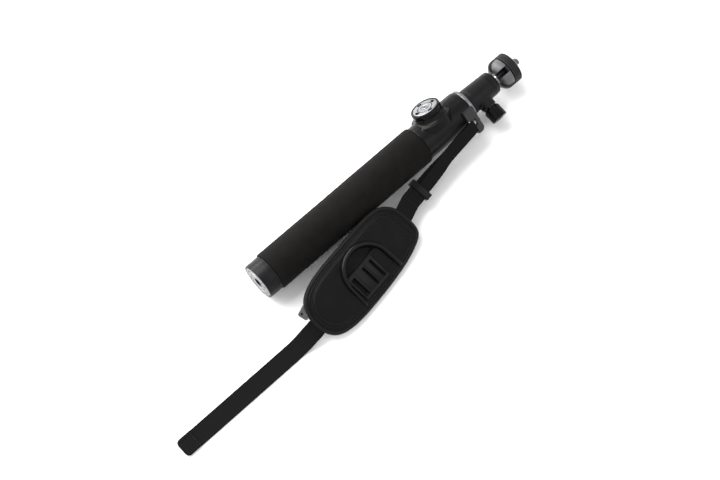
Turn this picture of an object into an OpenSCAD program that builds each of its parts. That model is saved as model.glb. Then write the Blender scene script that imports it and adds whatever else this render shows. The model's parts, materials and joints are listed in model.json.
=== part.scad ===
// Hand-held telescopic selfie stick: foam grip, side lock knob, three nested stages, ball head with a
// camera stud, and a padded wrist strap. It lies on its grip. X runs along the pole from the mouth of
// the tripod socket in the butt towards the camera stud, and Z is up.

/* [Handle] */
// Radius over the foam grip
grip_r = 16.2; // [15.5:0.1:17]
// Where the foam grip starts
grip_x0 = 12.4; // [11:0.1:14]
// Where the foam grip ends and the neck starts
grip_x1 = 168.2; // [160:0.2:172]
// Outer radius of the handle tube under the foam
handle_r = 13.2; // [13:0.1:13.4]
// Radius of the butt cap
butt_r = 15.2; // [14.6:0.1:15.6]
// Bore radius of the quarter-inch tripod socket
socket_r = 3.2; // [3.18:0.01:3.3]
// Depth of the tripod socket
socket_depth = 9.5; // [8:0.5:10]

/* [Neck] */
// Outer radius of the neck
neck_r = 14.9; // [14.6:0.1:15.2]
// Where the neck ends
neck_x1 = 216.4; // [215:0.1:217]
// Width of the bright ring at the neck's mouth
ring_w = 2.7; // [2:0.1:3]
// Position of the lock boss along the pole
boss_x = 188.5; // [188:0.5:191]
// Lean of the lock boss from upright, away from the strap
boss_lean = 44; // [38:0.5:46]
// Radius of the lock knob
knob_r = 12.4; // [12:0.1:12.8]
// Height of the lock knob's top above the pole's axis
knob_top = 22.2; // [22:0.1:22.6]

/* [Stages] */
// Outer radius of the largest stage
stage1_r = 11; // [10.9:0.05:11.1]
// Step in radius from one stage to the next
stage_step = 1.7; // [1.65:0.05:1.75]
// Wall of a stage tube
stage_wall = 0.8; // [0.7:0.05:0.85]
// Running clearance of a stage in its bush
stage_gap = 0.05; // [0.02:0.01:0.08]

/* [Ball head] */
// Where the head housing starts
head_x0 = 220; // [219.8:0.1:220.5]
// Where the head's collar ends
head_x1 = 250; // [249:0.5:251]
// Radius of the head at its base
head_r0 = 11; // [10.8:0.1:11.2]
// Radius of the head at its mouth
head_r1 = 9.9; // [9.8:0.1:10.2]
// Radius of the ball
ball_r = 7; // [6.9:0.05:7.1]
// Centre of the ball along the pole
ball_x = 245; // [244.8:0.1:245.2]
// Position of the head's thumbscrew along the pole
thumb_x = 232.8; // [232:0.1:233.5]
// Lean of the thumbscrew from upright, towards the strap
thumb_lean = 100; // [90:1:110]
// Radius of the thumbscrew's knob
thumb_r = 6.9; // [6.5:0.1:7.2]
// Lobes on the lock wheel
wheel_lobes = 5; // [4:1:6]
// Radius of the lock wheel and of the camera platform
wheel_r = 13.1; // [12.8:0.1:13.4]
// Height of the camera seat along the pole
seat_x = 270.6; // [270.4:0.1:271]
// Radius of the quarter-inch camera stud
stud_r = 3.175; // [3.1:0.005:3.2]
// Length of stud above the seat
stud_l = 6.2; // [5.5:0.1:6.5]

/* [Strap] */
// Lean of the strap lug from upright
lug_lean = 40.6; // [38:0.1:43]
// Width of the looped webbing at the lug
loop_w = 10; // [9:0.5:10]
// Width of the main webbing
web_w = 15; // [14:0.5:15]
// Thickness of one layer of webbing
web_t = 1.2; // [1:0.1:1.3]
// Lets the whole outline of the pad out or in
pad_grow = 0; // [-1.5:0.1:0.4]
// Thickness of the pad
pad_t = 6.4; // [6:0.2:7]
// Lean of the pad on the grip
pad_roll = 22.5; // [21:0.5:24]
// Direction of the pad, from the pole
pad_yaw = 8.6; // [8:0.1:9.2]
// Length of the loose tail from the pad to its tip
tail_l = 139; // [120:1:145]

/* [Hidden] */
$fn = 64;
table_z = -grip_r;
bore_over = 1;

handle_bore = handle_r - 1;
handle_end = 178;
stage_r = [stage1_r, stage1_r - stage_step, stage1_r - 2 * stage_step];
stage_tail = [24, 27, 30];
stage_mouth = [219.3, 219.5, 224];
plug_l = 8;
bush_l = 12;

lock_seat = 17.4;
shaft_r = 3;
shoe_r = 5;
shoe_top = 15.4;
dial_r = 10.95;
pin_circle = 6.9;

ball_gap = 0.05;
stem_r = 2.6;
shaft2_r = 2.5;
wheel_x0 = 253;
wheel_turn = 51.7;
wheel_x1 = 262.2;
platform_x0 = 262.5;
slot_w = 5.5;
nut_r = 4.6;

bar_x = 208;
bar_r = 1.2;
lug_mid = 16.4;
lug_t = 3;
lug_end = 18.8;
loop_mid = 11.6;
loop_turn = bar_r + 0.3 + web_t / 2;

pad_at = [66.81, -44.32, -3.51];
pad_x0 = -58.3;
pad_x1 = 54.6;
binding_w = 2.5;
// Stations round the pad's edge, from the middle of its upper end towards the grip.
PAD_EDGE = [
  [54.6, -4], [53.6, 8.5], [49.8, 16], [43.5, 21.2], [34, 23.8], [20, 24.8], [0, 24.8], [-20, 24.8],
  [-34, 23.8], [-45, 21], [-53, 15.5], [-57.3, 7], [-58.3, -3], [-56.6, -12.5], [-51.5, -19.5],
  [-42.5, -23.8], [-28, -26], [-10, -26.3], [8, -25.8], [25, -24.4], [39, -21.8], [49, -18.2],
  [53.4, -13]
];
glide_at = [143.7, -27.7, -3];
glide_yaw = 8.1;
glide_pitch = 5.5;
glide_roll = 20;
run_gap = 1.6;
tail_rest = table_z + web_t / 2;

// Frames: each turns local +Z outwards from the pole or up from the pad.
module along_x(x) { translate([x, 0, 0]) rotate([0, 90, 0]) children(); }
module on_boss() { translate([boss_x, 0, 0]) rotate([-boss_lean, 0, 0]) children(); }
module on_thumb() { translate([thumb_x, 0, 0]) rotate([thumb_lean, 0, 0]) children(); }
module on_lug() { rotate([lug_lean, 0, 0]) children(); }
module on_pad() { translate(pad_at) rotate([0, 0, pad_yaw]) rotate([pad_roll, 0, 0]) children(); }
module on_glide() {
  translate(glide_at) rotate([0, 0, glide_yaw]) rotate([0, -glide_pitch, 0])
    rotate([glide_roll, 0, 0]) children();
}

// A round tube along the pole, from x0 to x1.
module pole_tube(x0, x1, outer, inner) {
  along_x(x0) difference() {
    cylinder(h = x1 - x0, r = outer);
    translate([0, 0, -bore_over]) cylinder(h = x1 - x0 + 2 * bore_over, r = inner);
  }
}
// A cylinder on the current frame's Z axis, from z0 to z1.
module post(z0, z1, r) { translate([0, 0, z0]) cylinder(h = z1 - z0, r = r); }
// A flat outline with equal round corners.
module round_rect(l, w, r) {
  square([l - 2 * r, w], center = true);
  square([l, w - 2 * r], center = true);
  for (sx = [-1, 1], sy = [-1, 1]) translate([sx * (l / 2 - r), sy * (w / 2 - r)]) circle(r = r);
}

// A smooth closed line through stations, in three steps between each pair.
function smooth(s) = let (n = len(s)) [for (i = [0:n - 1], k = [0:2])
  let (a = s[(i + n - 1) % n], b = s[i], c = s[(i + 1) % n], d = s[(i + 2) % n], t = k / 3)
  0.5 * (2 * b + (c - a) * t + (2 * a - 5 * b + 4 * c - d) * t * t
    + (3 * b - a - 3 * c + d) * t * t * t)];
module pad_outline(out) { offset(delta = pad_grow + out) polygon(smooth(PAD_EDGE)); }
// What the webbing must leave out where it is sewn to the pad's edge.
module pad_space() {
  on_pad() translate([0, 0, -10]) linear_extrude(height = 20) pad_outline(0.02);
}

// Row-frame places worked out from the local frames.
function lug_point(x, y, z) =
  [x, y * cos(lug_lean) - z * sin(lug_lean), y * sin(lug_lean) + z * cos(lug_lean)];
function width_dir(yaw, roll) = [-sin(yaw) * cos(roll), cos(yaw) * cos(roll), sin(roll)];
function pad_point(x, y, z) = pad_at
  + x * [cos(pad_yaw), sin(pad_yaw), 0]
  + y * width_dir(pad_yaw, pad_roll)
  + z * cross([cos(pad_yaw), sin(pad_yaw), 0], width_dir(pad_yaw, pad_roll));
glide_dir = [cos(glide_pitch) * cos(glide_yaw), cos(glide_pitch) * sin(glide_yaw), sin(glide_pitch)];
function unit(v) = v / norm(v);
glide_across = unit(width_dir(glide_yaw, glide_roll)
  - glide_dir * (glide_dir * width_dir(glide_yaw, glide_roll)));
glide_up = cross(glide_dir, glide_across);
function on_strap(s, h) = glide_at + s * glide_dir + h * glide_up;

// A flat band of webbing through path, a list of [centre, direction across the band].
module webbing(path, width, thick) {
  n = len(path);
  function tangent(i) = unit(path[min(i + 1, n - 1)][0] - path[max(i - 1, 0)][0]);
  function across(i) = unit(path[i][1] - tangent(i) * (tangent(i) * path[i][1]));
  function ring(i) = let (c = path[i][0], w = across(i) * width / 2,
    u = cross(tangent(i), across(i)) * thick / 2) [c - w - u, c + w - u, c + w + u, c - w + u];
  points = [for (i = [0:n - 1]) each ring(i)];
  sides = [for (i = [0:n - 2], k = [0:3]) let (a = 4 * i + k, b = 4 * i + (k + 1) % 4)
    each [[a, a + 4, b], [b, a + 4, b + 4]]];
  last = 4 * (n - 1);
  ends = [[0, 1, 2], [0, 2, 3], [last, last + 2, last + 1], [last, last + 3, last + 2]];
  polyhedron(points = points, faces = concat(sides, ends));
}

// ---- Handle ----
module handle_tube() {
  color("dimgray") pole_tube(socket_depth + 3, handle_end, handle_r, handle_bore);
}
module foam_grip() {
  color([0.12, 0.11, 0.11]) along_x(grip_x0) difference() {
    union() {
      cylinder(h = 1, r1 = grip_r - 0.7, r2 = grip_r);
      translate([0, 0, 1]) cylinder(h = grip_x1 - grip_x0 - 2, r = grip_r);
      translate([0, 0, grip_x1 - grip_x0 - 1]) cylinder(h = 1, r1 = grip_r, r2 = grip_r - 0.7);
    }
    translate([0, 0, -bore_over]) cylinder(h = grip_x1 - grip_x0 + 2 * bore_over, r = handle_r);
  }
}
module butt_cap() {
  lip = 1.4;
  color([0.25, 0.25, 0.26]) along_x(0) difference() {
    union() {
      cylinder(h = 0.6, r1 = butt_r - 0.5, r2 = butt_r);
      translate([0, 0, 0.6]) cylinder(h = grip_x0 - 0.7, r = butt_r);
    }
    translate([0, 0, -bore_over]) cylinder(h = lip + bore_over, r = butt_r - 1.5);
    translate([0, 0, -bore_over]) cylinder(h = socket_depth + bore_over, r = 6);
    translate([0, 0, socket_depth + 3]) cylinder(h = 10, r = handle_r);
    translate([0, 0, socket_depth]) cylinder(h = 10, r = 9);
  }
}
module butt_plate() {
  color("silver") along_x(0) difference() {
    cylinder(h = 1.4, r = butt_r - 1.5);
    translate([0, 0, -bore_over]) cylinder(h = 4, r = 5);
    for (r = [7.4, 11]) translate([0, 0, -bore_over]) difference() {
      cylinder(h = bore_over + 0.25, r = r + 0.3);
      translate([0, 0, -1]) cylinder(h = 4, r = r - 0.3);
    }
    for (a = [60, 240]) rotate([0, 0, a]) translate([9.2, 0, -bore_over])
      cylinder(h = bore_over + 0.8, r = 0.8, $fn = 24);
  }
}
module tripod_insert() {
  color("goldenrod") along_x(0) difference() {
    union() {
      cylinder(h = 1.4, r = 5);
      translate([0, 0, 1.4]) cylinder(h = socket_depth - 1.4, r = 6);
      translate([0, 0, socket_depth]) cylinder(h = 1.6, r = 9);
    }
    translate([0, 0, -bore_over]) cylinder(h = socket_depth + bore_over, r = socket_r);
  }
}
module end_bumper() {
  color("black") pole_tube(socket_depth + 3.2, socket_depth + 9, handle_bore, 5);
}

// ---- Neck ----
// The boss meets the round neck in a hollow fillet.
module boss_solid() {
  flare = 4;
  rotate_extrude() difference() {
    translate([0, 6]) square([knob_r + flare, lock_seat - 6]);
    translate([knob_r + flare, lock_seat - 0.4]) circle(r = flare);
    translate([knob_r, lock_seat - 0.4]) square([flare + 1, 5]);
  }
}
module neck_housing() {
  nose = 2;
  color([0.13, 0.13, 0.14]) difference() {
    union() {
      along_x(grip_x1 + 0.1) cylinder(h = neck_x1 - grip_x1 - nose - 0.1, r = neck_r);
      along_x(neck_x1 - nose) cylinder(h = nose, r1 = neck_r, r2 = neck_r - 0.9);
      on_boss() boss_solid();
    }
    along_x(grip_x1 - 9) cylinder(h = neck_x1 - grip_x1 + 20, r = handle_r);
    on_boss() {
      post(0, lock_seat - 2.2, shoe_r + 0.05);
      post(0, lock_seat + 1, 4);
      post(lock_seat - 1.3, lock_seat + 1, 5.5);
    }
  }
}
module neck_ring() {
  color("silver") pole_tube(neck_x1, neck_x1 + ring_w, neck_r - 0.7, 12.4);
}
module neck_bush() {
  color("ivory") {
    pole_tube(neck_x1 - bush_l, neck_x1, handle_r, stage1_r + stage_gap);
    pole_tube(neck_x1, neck_x1 + ring_w - 0.4, 12.4, stage1_r + stage_gap);
  }
}
module strap_lug() {
  ear_x1 = 216.2;
  round_r = 3.5;
  color([0.36, 0.36, 0.37]) difference() {
    on_lug() translate([0, 0, lug_mid]) {
      translate([0, 0, -lug_t / 2]) linear_extrude(height = lug_t) difference() {
        union() {
          translate([bar_x, -lug_end + bar_r]) square([ear_x1 - bar_x, lug_end + 2]);
          translate([bar_x, -lug_end]) square([ear_x1 - bar_x - round_r, lug_end]);
        }
        translate([bar_x - 1, -loop_mid - loop_w / 2 - 0.6])
          square([bar_r * 2 + 3.8, loop_w + 1.2]);
        translate([ear_x1 - round_r, -lug_end]) difference() {
          square([round_r + 1, round_r]);
          translate([0, round_r]) circle(r = round_r);
        }
      }
      translate([bar_x, -lug_end + 1.4, 0]) rotate([-90, 0, 0]) cylinder(h = lug_end - 2.4, r = bar_r);
      translate([bar_x - 1, -5.4, -4]) cube([ear_x1 - bar_x + 1, 9, 4 + lug_t / 2]);
    }
    along_x(180) cylinder(h = 60, r = neck_r + 0.02);
  }
}

// ---- Lock knob ----
module knob_cap() {
  rim_h = knob_top - lock_seat - 0.2;
  color([0.08, 0.08, 0.09]) on_boss() difference() {
    translate([0, 0, lock_seat + 0.2]) union() {
      cylinder(h = rim_h - 0.6, r = knob_r);
      translate([0, 0, rim_h - 0.6]) cylinder(h = 0.6, r1 = knob_r, r2 = knob_r - 0.6);
    }
    post(knob_top - 1, knob_top + 1, dial_r);
    post(0, knob_top, shaft_r);
  }
}
module dial_plate() {
  color("silver") on_boss() difference() {
    union() {
      post(knob_top - 1, knob_top - 0.2, dial_r);
      post(knob_top - 0.2, knob_top + 0.1, 4.6);
    }
    post(knob_top - 2, knob_top + 1, 2.6);
    for (a = [0:90:270]) rotate([0, 0, a]) translate([pin_circle, 0, 0])
      post(knob_top - 2, knob_top + 1, 1.3);
  }
}
module dial_screw() {
  color("gainsboro") on_boss() difference() {
    post(knob_top - 1, knob_top + 0.3, 2.6);
    post(knob_top - 0.5, knob_top + 1, 1.1, $fn = 6);
  }
}
module lock_shaft() {
  color("silver") on_boss() post(12.6, knob_top - 1, shaft_r);
}
module lock_bush() {
  color("goldenrod") on_boss() difference() {
    post(lock_seat - 1.3, lock_seat, 5.5);
    post(0, 30, shaft_r + 0.05);
  }
}
module brake_shoe() {
  color("ivory") difference() {
    on_boss() difference() {
      post(8, shoe_top - 1.2, shoe_r);
      post(12.55, 20, shaft_r + 0.05);
    }
    along_x(boss_x - 20) cylinder(h = 40, r = stage1_r + 0.02);
  }
}

// ---- Telescopic stages ----
module stage_tube(i) {
  pole_tube(stage_tail[i], stage_mouth[i], stage_r[i], stage_r[i] - stage_wall);
}
// The plug rides in the bore of the next larger tube.
module stage_plug(i, outer_bore) {
  pole_tube(stage_tail[i], stage_tail[i] + plug_l, outer_bore - stage_gap, stage_r[i]);
}
// The bush in a stage's mouth guides the next smaller tube.
module stage_bush(i) {
  pole_tube(stage_mouth[i] - bush_l, stage_mouth[i], stage_r[i] - stage_wall, stage_r[i + 1] + stage_gap);
}
module stage1_tube() { color("darkgray") stage_tube(0); }
module stage1_plug() { color("ivory") stage_plug(0, handle_bore); }
module stage1_bush() { color("black") stage_bush(0); }
module stage2_tube() { color("gray") stage_tube(1); }
module stage2_plug() { color("ivory") stage_plug(1, stage_r[0] - stage_wall); }
module stage2_bush() { color("black") stage_bush(1); }
module stage3_tube() { color("silver") stage_tube(2); }
module stage3_plug() { color("ivory") stage_plug(2, stage_r[1] - stage_wall); }

// ---- Ball head ----
cavity_r = ball_r + ball_gap;
collar_x = 244;
module head_housing() {
  color([0.14, 0.14, 0.15]) difference() {
    union() {
      along_x(head_x0) cylinder(h = collar_x - head_x0, r1 = head_r0, r2 = head_r1 + 0.2);
      on_thumb() post(0, 14.4, 6.3);
    }
    along_x(head_x0 - 1) cylinder(h = stage_mouth[2] - head_x0 + 1, r = stage_r[2]);
    along_x(226) cylinder(h = 30, r = cavity_r + 0.4);
    on_thumb() {
      post(0, 13, 2.9);
      post(12, 15, 4.2);
    }
  }
}
module head_collar() {
  lip_x = head_x1 - 2;
  color([0.1, 0.1, 0.11]) difference() {
    union() {
      along_x(collar_x) cylinder(h = lip_x - collar_x, r1 = head_r1 + 0.2, r2 = head_r1);
      along_x(lip_x) cylinder(h = 2, r1 = head_r1, r2 = head_r1 - 2.7);
    }
    translate([ball_x, 0, 0]) sphere(r = cavity_r);
    along_x(collar_x - 1) cylinder(h = ball_x - collar_x + 1, r = cavity_r);
    along_x(ball_x) cylinder(h = 10, r = 5.5);
    along_x(head_x1 - 1.2) cylinder(h = 1.3, r1 = 5.3, r2 = 6.7);
  }
}
module thumb_insert() {
  color("goldenrod") on_thumb() difference() {
    post(12, 14.4, 4.2);
    post(0, 30, shaft2_r + 0.05);
  }
}
module thumb_knob() {
  z0 = 14.7;
  z1 = 26.3;
  color([0.05, 0.05, 0.05]) on_thumb() difference() {
    union() {
      post(z0 + 1.6, z1 - 0.5, thumb_r);
      translate([0, 0, z0]) cylinder(h = 1.6, r1 = thumb_r - 1.4, r2 = thumb_r);
      translate([0, 0, z1 - 0.5]) cylinder(h = 0.5, r1 = thumb_r, r2 = thumb_r - 0.5);
    }
    post(z0 - 1, z1 - 2, shaft2_r);
    for (a = [0:60:300]) rotate([0, 0, a + 90]) translate([thumb_r + 0.7, 0, 0]) post(z0 - 1, z1 + 1, 1.9);
  }
}
module thumb_shaft() {
  color("silver") on_thumb() post(9.8, 24.3, shaft2_r);
}
// The thumbscrew pushes this wedge, which presses the seat against the ball.
module clamp_pad() {
  color("goldenrod") on_thumb() difference() {
    post(4.2, 11.4, 2.8);
    post(9.75, 20, shaft2_r + 0.05);
  }
}
module ball_seat() {
  color("ivory") difference() {
    along_x(236) cylinder(h = 6, r = cavity_r + 0.3);
    translate([ball_x, 0, 0]) sphere(r = cavity_r);
    along_x(230) cylinder(h = 20, r = 2.4);
  }
}
module ball() {
  color("silver") difference() {
    translate([ball_x, 0, 0]) sphere(r = ball_r);
    along_x(ball_x - 3) cylinder(h = 20, r = stem_r + 0.05);
  }
}
// The stud is relieved at the camera seat, so that the thread beyond it is a length of its own.
module camera_stud() {
  tip = 0.7;
  relief_x0 = seat_x - 1;
  relief_x1 = seat_x + 0.3;
  color("silver") {
    along_x(ball_x - 2.9) cylinder(h = seat_x - ball_x + 2.9, r = stem_r);
    along_x(wheel_x0) cylinder(h = relief_x0 - wheel_x0, r = stud_r);
    along_x(seat_x - 1) cylinder(h = 2, r = stem_r);
    along_x(relief_x1) cylinder(h = seat_x + stud_l - relief_x1 - tip, r = stud_r);
    along_x(seat_x + stud_l - tip) cylinder(h = tip, r1 = stud_r, r2 = stud_r - tip);
  }
}
module lock_wheel() {
  color([0.45, 0.45, 0.47]) along_x(wheel_x0) difference() {
    rotate_extrude() polygon([[nut_r, 0], [7.6, 0], [9.8, 0.6], [11.6, 1.9], [12.7, 3.6],
      [wheel_r, 5.4], [wheel_r, wheel_x1 - wheel_x0], [nut_r, wheel_x1 - wheel_x0]]);
    for (i = [0:wheel_lobes - 1]) rotate([0, 0, i * 360 / wheel_lobes + wheel_turn])
      translate([0, 0, -1]) linear_extrude(height = wheel_x1 - wheel_x0 - 0.6) {
        translate([7.4, 0]) circle(r = slot_w / 2, $fn = 32);
        translate([7.4, -slot_w / 2]) square([10, slot_w]);
      }
  }
}
module wheel_nut() {
  color("goldenrod") pole_tube(wheel_x0, wheel_x1, nut_r, stud_r + 0.05);
}
module platform_disc() {
  color([0.09, 0.09, 0.09]) pole_tube(platform_x0, seat_x - 1.3, wheel_r - 1.2, stud_r + 0.08);
}
module platform_pad() {
  color([0.06, 0.06, 0.06]) along_x(platform_x0) difference() {
    cylinder(h = seat_x - platform_x0 - 1.3, r = wheel_r);
    translate([0, 0, -1]) cylinder(h = 20, r = wheel_r - 1.2);
    for (x = [1.6, 3.4, 5.2]) translate([0, 0, x]) difference() {
      cylinder(h = 0.7, r = wheel_r + 1);
      translate([0, 0, -1]) cylinder(h = 3, r = wheel_r - 0.4);
    }
  }
}
module seat_plate() {
  color("gainsboro") along_x(seat_x - 1.3) difference() {
    union() {
      cylinder(h = 0.5, r = wheel_r - 0.6);
      translate([0, 0, 0.5]) cylinder(h = 0.8, r = 9.2);
    }
    translate([0, 0, -1]) cylinder(h = 4, r = stud_r + 0.08);
  }
}

// ---- Strap ----
lug_across = [0, cos(lug_lean), sin(lug_lean)];
// One band runs from the stitched joint to the lug's bar, round it, and back beneath itself.
module strap_loop() {
  turns = [for (a = [90:-30:-90]) [
    lug_point(bar_x + loop_turn * cos(a), -loop_mid, lug_mid + loop_turn * sin(a)), lug_across]];
  top = [for (s = [-12, 12, 36]) [on_strap(s, run_gap), glide_across]];
  low = [for (s = [36, 12, -12]) [on_strap(s, -run_gap), glide_across]];
  color([0.14, 0.12, 0.13]) webbing(concat(top, turns, low), loop_w, web_t);
}
module tri_glide() {
  l = 5.4;
  color([0.05, 0.05, 0.05]) on_glide() difference() {
    translate([-l / 2, -9.5, -3.3]) cube([l, 19, 6.6]);
    for (z = [-1, 1]) translate([-l, -8, z * run_gap - 1]) cube([2 * l, 16, 2]);
  }
}
module strap_upper() {
  color([0.14, 0.12, 0.13]) difference() {
    webbing([
      [pad_point(pad_x1 - 4, 2, 0), width_dir(pad_yaw, pad_roll)],
      [pad_point(pad_x1 + 3, 2.3, 0), width_dir(pad_yaw, pad_roll)],
      [on_strap(-15, 0), glide_across],
      [on_strap(-12.1, 0), glide_across]
    ], web_w, 2 * run_gap + web_t);
    pad_space();
  }
}
module pad_body() {
  color([0.13, 0.12, 0.12]) on_pad() translate([0, 0, -pad_t / 2]) linear_extrude(height = pad_t)
    pad_outline(-binding_w);
}
module pad_binding() {
  high = 4.8;
  color([0.1, 0.09, 0.09]) on_pad() translate([0, 0, -high / 2]) linear_extrude(height = high)
    difference() {
      pad_outline(0);
      pad_outline(-binding_w);
    }
}
module arch_rim() {
  outer = 22.4;
  inner = 18.4;
  high = 4.4;
  leg = 17.5;
  color([0.08, 0.08, 0.08]) on_pad() translate([1.2, -4.2, pad_t / 2]) linear_extrude(height = high) {
    difference() {
      circle(r = outer);
      circle(r = inner);
      translate([-2 * outer, -4 * outer]) square(4 * outer);
    }
    for (side = [-1, 1]) rotate([0, 0, side * 2]) translate([side * (outer + inner) / 2, 0.7 - leg / 2])
      square([outer - inner, leg], center = true);
  }
}
module ladder_buckle() {
  // Each slot is its centre along the buckle and its width.
  slots = [[-10.1, 4.4], [2, 2.5], [10.1, 2.2]];
  slot_l = 16.8;
  color([0.07, 0.07, 0.07]) on_pad() translate([-3.2, -7.3, pad_t / 2])
    linear_extrude(height = 2.2) difference() {
      round_rect(27, 22.3, 2);
      for (s = slots) translate([s[0], -0.6]) square([s[1], slot_l], center = true);
      // The corner beneath the arch is cut back to clear it.
      translate([4.4, 3.1]) difference() {
        translate([-30, 0]) square(30);
        circle(r = 18.3);
      }
    }
}
module rear_tab() {
  color([0.62, 0.62, 0.62]) difference() {
    on_pad() translate([pad_x0 + 1.2, 10.6, -0.6]) rotate([0, 0, 12]) linear_extrude(height = 1.2)
      difference() {
        round_rect(8, 8.6, 1);
        translate([-1.4, 2.1]) circle(r = 0.8, $fn = 24);
      }
    pad_space();
  }
}
module strap_tail() {
  tip_x = 12.6 - tail_l;
  flat = [0, 1, 0];
  color([0.14, 0.12, 0.13]) difference() {
    webbing([
      [pad_point(pad_x0 + 3, -3.2, -0.6), width_dir(pad_yaw, pad_roll)],
      [pad_point(pad_x0 - 2.5, -3.3, -0.9), width_dir(pad_yaw, pad_roll)],
      [[2, -55.9, -9], width_dir(4, 12)],
      [[-4.5, -55.7, -13], width_dir(2, 5)],
      [[-12, -55.6, tail_rest], flat],
      [[-22, -55.7, tail_rest], flat],
      [[tip_x + 14, -56, tail_rest], flat]
    ], web_w, web_t);
    pad_space();
  }
}
module tail_hem() {
  tip_x = 12.6 - tail_l;
  color([0.12, 0.1, 0.11]) translate([tip_x + 7, -56, table_z]) linear_extrude(height = 2 * web_t)
    round_rect(13.9, web_w, 3);
}

handle_tube();
foam_grip();
butt_cap();
butt_plate();
tripod_insert();
end_bumper();
neck_housing();
neck_ring();
neck_bush();
strap_lug();
knob_cap();
dial_plate();
dial_screw();
lock_shaft();
lock_bush();
brake_shoe();
stage1_tube();
stage1_plug();
stage1_bush();
stage2_tube();
stage2_plug();
stage2_bush();
stage3_tube();
stage3_plug();
head_housing();
head_collar();
thumb_insert();
thumb_knob();
thumb_shaft();
clamp_pad();
ball_seat();
ball();
camera_stud();
lock_wheel();
wheel_nut();
platform_disc();
platform_pad();
seat_plate();
strap_loop();
tri_glide();
strap_upper();
pad_body();
pad_binding();
arch_rim();
ladder_buckle();
rear_tab();
strap_tail();
tail_hem();
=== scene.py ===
import json
import math

import bmesh
import bpy
from mathutils import Matrix, Vector, noise
from mathutils.kdtree import KDTree


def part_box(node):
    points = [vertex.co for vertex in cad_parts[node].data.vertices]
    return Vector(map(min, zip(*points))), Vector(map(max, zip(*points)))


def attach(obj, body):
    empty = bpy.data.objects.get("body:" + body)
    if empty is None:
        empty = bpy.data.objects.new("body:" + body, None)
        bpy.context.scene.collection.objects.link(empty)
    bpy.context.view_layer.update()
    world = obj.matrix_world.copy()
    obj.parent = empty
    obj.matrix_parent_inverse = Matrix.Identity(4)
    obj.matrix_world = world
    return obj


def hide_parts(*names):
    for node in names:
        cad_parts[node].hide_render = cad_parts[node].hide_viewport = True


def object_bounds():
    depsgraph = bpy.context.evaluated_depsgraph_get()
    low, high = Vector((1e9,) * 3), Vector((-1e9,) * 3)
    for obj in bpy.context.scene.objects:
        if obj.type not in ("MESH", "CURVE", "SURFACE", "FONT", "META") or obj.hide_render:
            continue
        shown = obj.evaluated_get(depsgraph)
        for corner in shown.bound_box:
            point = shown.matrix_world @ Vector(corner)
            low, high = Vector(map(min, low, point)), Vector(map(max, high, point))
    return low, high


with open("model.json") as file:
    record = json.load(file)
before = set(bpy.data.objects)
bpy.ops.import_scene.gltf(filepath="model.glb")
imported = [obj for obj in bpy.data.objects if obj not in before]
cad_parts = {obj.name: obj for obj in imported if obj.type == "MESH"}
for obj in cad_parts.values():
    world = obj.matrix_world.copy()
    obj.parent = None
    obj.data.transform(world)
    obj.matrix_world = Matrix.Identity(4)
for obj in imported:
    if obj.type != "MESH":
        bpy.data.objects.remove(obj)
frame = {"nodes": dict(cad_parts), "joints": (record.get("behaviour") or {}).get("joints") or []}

MM = 0.001
cad_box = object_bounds()
JOINT = {j["name"]: j for j in frame["joints"]}
NODES = frame["nodes"]


# ---------------------------------------------------------------- frames
def axes_at(origin, z_dir, x_hint):
    """A frame at origin with +Z along z_dir and +X as near x_hint as it can be."""
    z = Vector(z_dir).normalized()
    y = z.cross(Vector(x_hint)).normalized()
    turn = Matrix((y.cross(z), y, z)).transposed().to_4x4()
    turn.translation = Vector(origin)
    return turn


def middle(name):
    low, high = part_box(name)
    return (low + high) / 2


def span(name):
    """Where a CAD node starts and ends along the pole, in millimetres."""
    low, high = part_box(name)
    return low.x / MM, high.x / MM


def radius(name):
    """Outer radius of a CAD node that is round about the pole, in millimetres."""
    low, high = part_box(name)
    return (high.z - low.z) / 2 / MM


def across_band(yaw, roll):
    """The direction across a band that runs at yaw and leans by roll, in degrees."""
    yaw, roll = math.radians(yaw), math.radians(roll)
    return Vector((-math.sin(yaw) * math.cos(roll), math.cos(yaw) * math.cos(roll), math.sin(roll)))


# How the strap lies: the pad's turn on the table and its lean, and the slider's lean, in degrees.
PAD_YAW, PAD_ROLL = 8.6, 22.5
GLIDE_ROLL = math.radians(20)
# The pad's thickness, and the ladder buckle's middle on the pad and above its face.
PAD_T = 6.4
BUCKLE_AT = (-3.2, -7.3)
BUCKLE_RISE = 1.1
TABLE = cad_box[0][2]

POLE = axes_at((0, 0, 0), (1, 0, 0), (0, 0, -1))
BOSS = axes_at(JOINT["lock_turn"]["pos_m"], JOINT["lock_turn"]["axis"], (1, 0, 0))
THUMB = axes_at(JOINT["thumb_turn"]["pos_m"], JOINT["thumb_turn"]["axis"], (1, 0, 0))
BAR = Vector(JOINT["strap_swing"]["pos_m"])
BAR_AXIS = Vector(JOINT["strap_swing"]["axis"])
LUG = axes_at(BAR, Vector((1, 0, 0)).cross(BAR_AXIS), (1, 0, 0))
PAD_ALONG = Vector((math.cos(math.radians(PAD_YAW)), math.sin(math.radians(PAD_YAW)), 0))
PAD_ACROSS = across_band(PAD_YAW, PAD_ROLL)
# The pad's frame is found from its buckle, which is even about its own middle.
PAD = axes_at(middle("ladder_buckle"), PAD_ALONG.cross(PAD_ACROSS), PAD_ALONG)
PAD = PAD @ Matrix.Translation((-BUCKLE_AT[0] * MM, -BUCKLE_AT[1] * MM, -(PAD_T / 2 + BUCKLE_RISE) * MM))
GLIDE_ALONG = Vector(JOINT["glide_slide"]["axis"]).normalized()
LEVEL = Vector((0, 0, 1)).cross(GLIDE_ALONG).normalized()
GLIDE_ACROSS = LEVEL * math.cos(GLIDE_ROLL) + GLIDE_ALONG.cross(LEVEL) * math.sin(GLIDE_ROLL)
GLIDE = axes_at(middle("tri_glide"), GLIDE_ALONG.cross(GLIDE_ACROSS), GLIDE_ALONG)


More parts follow.
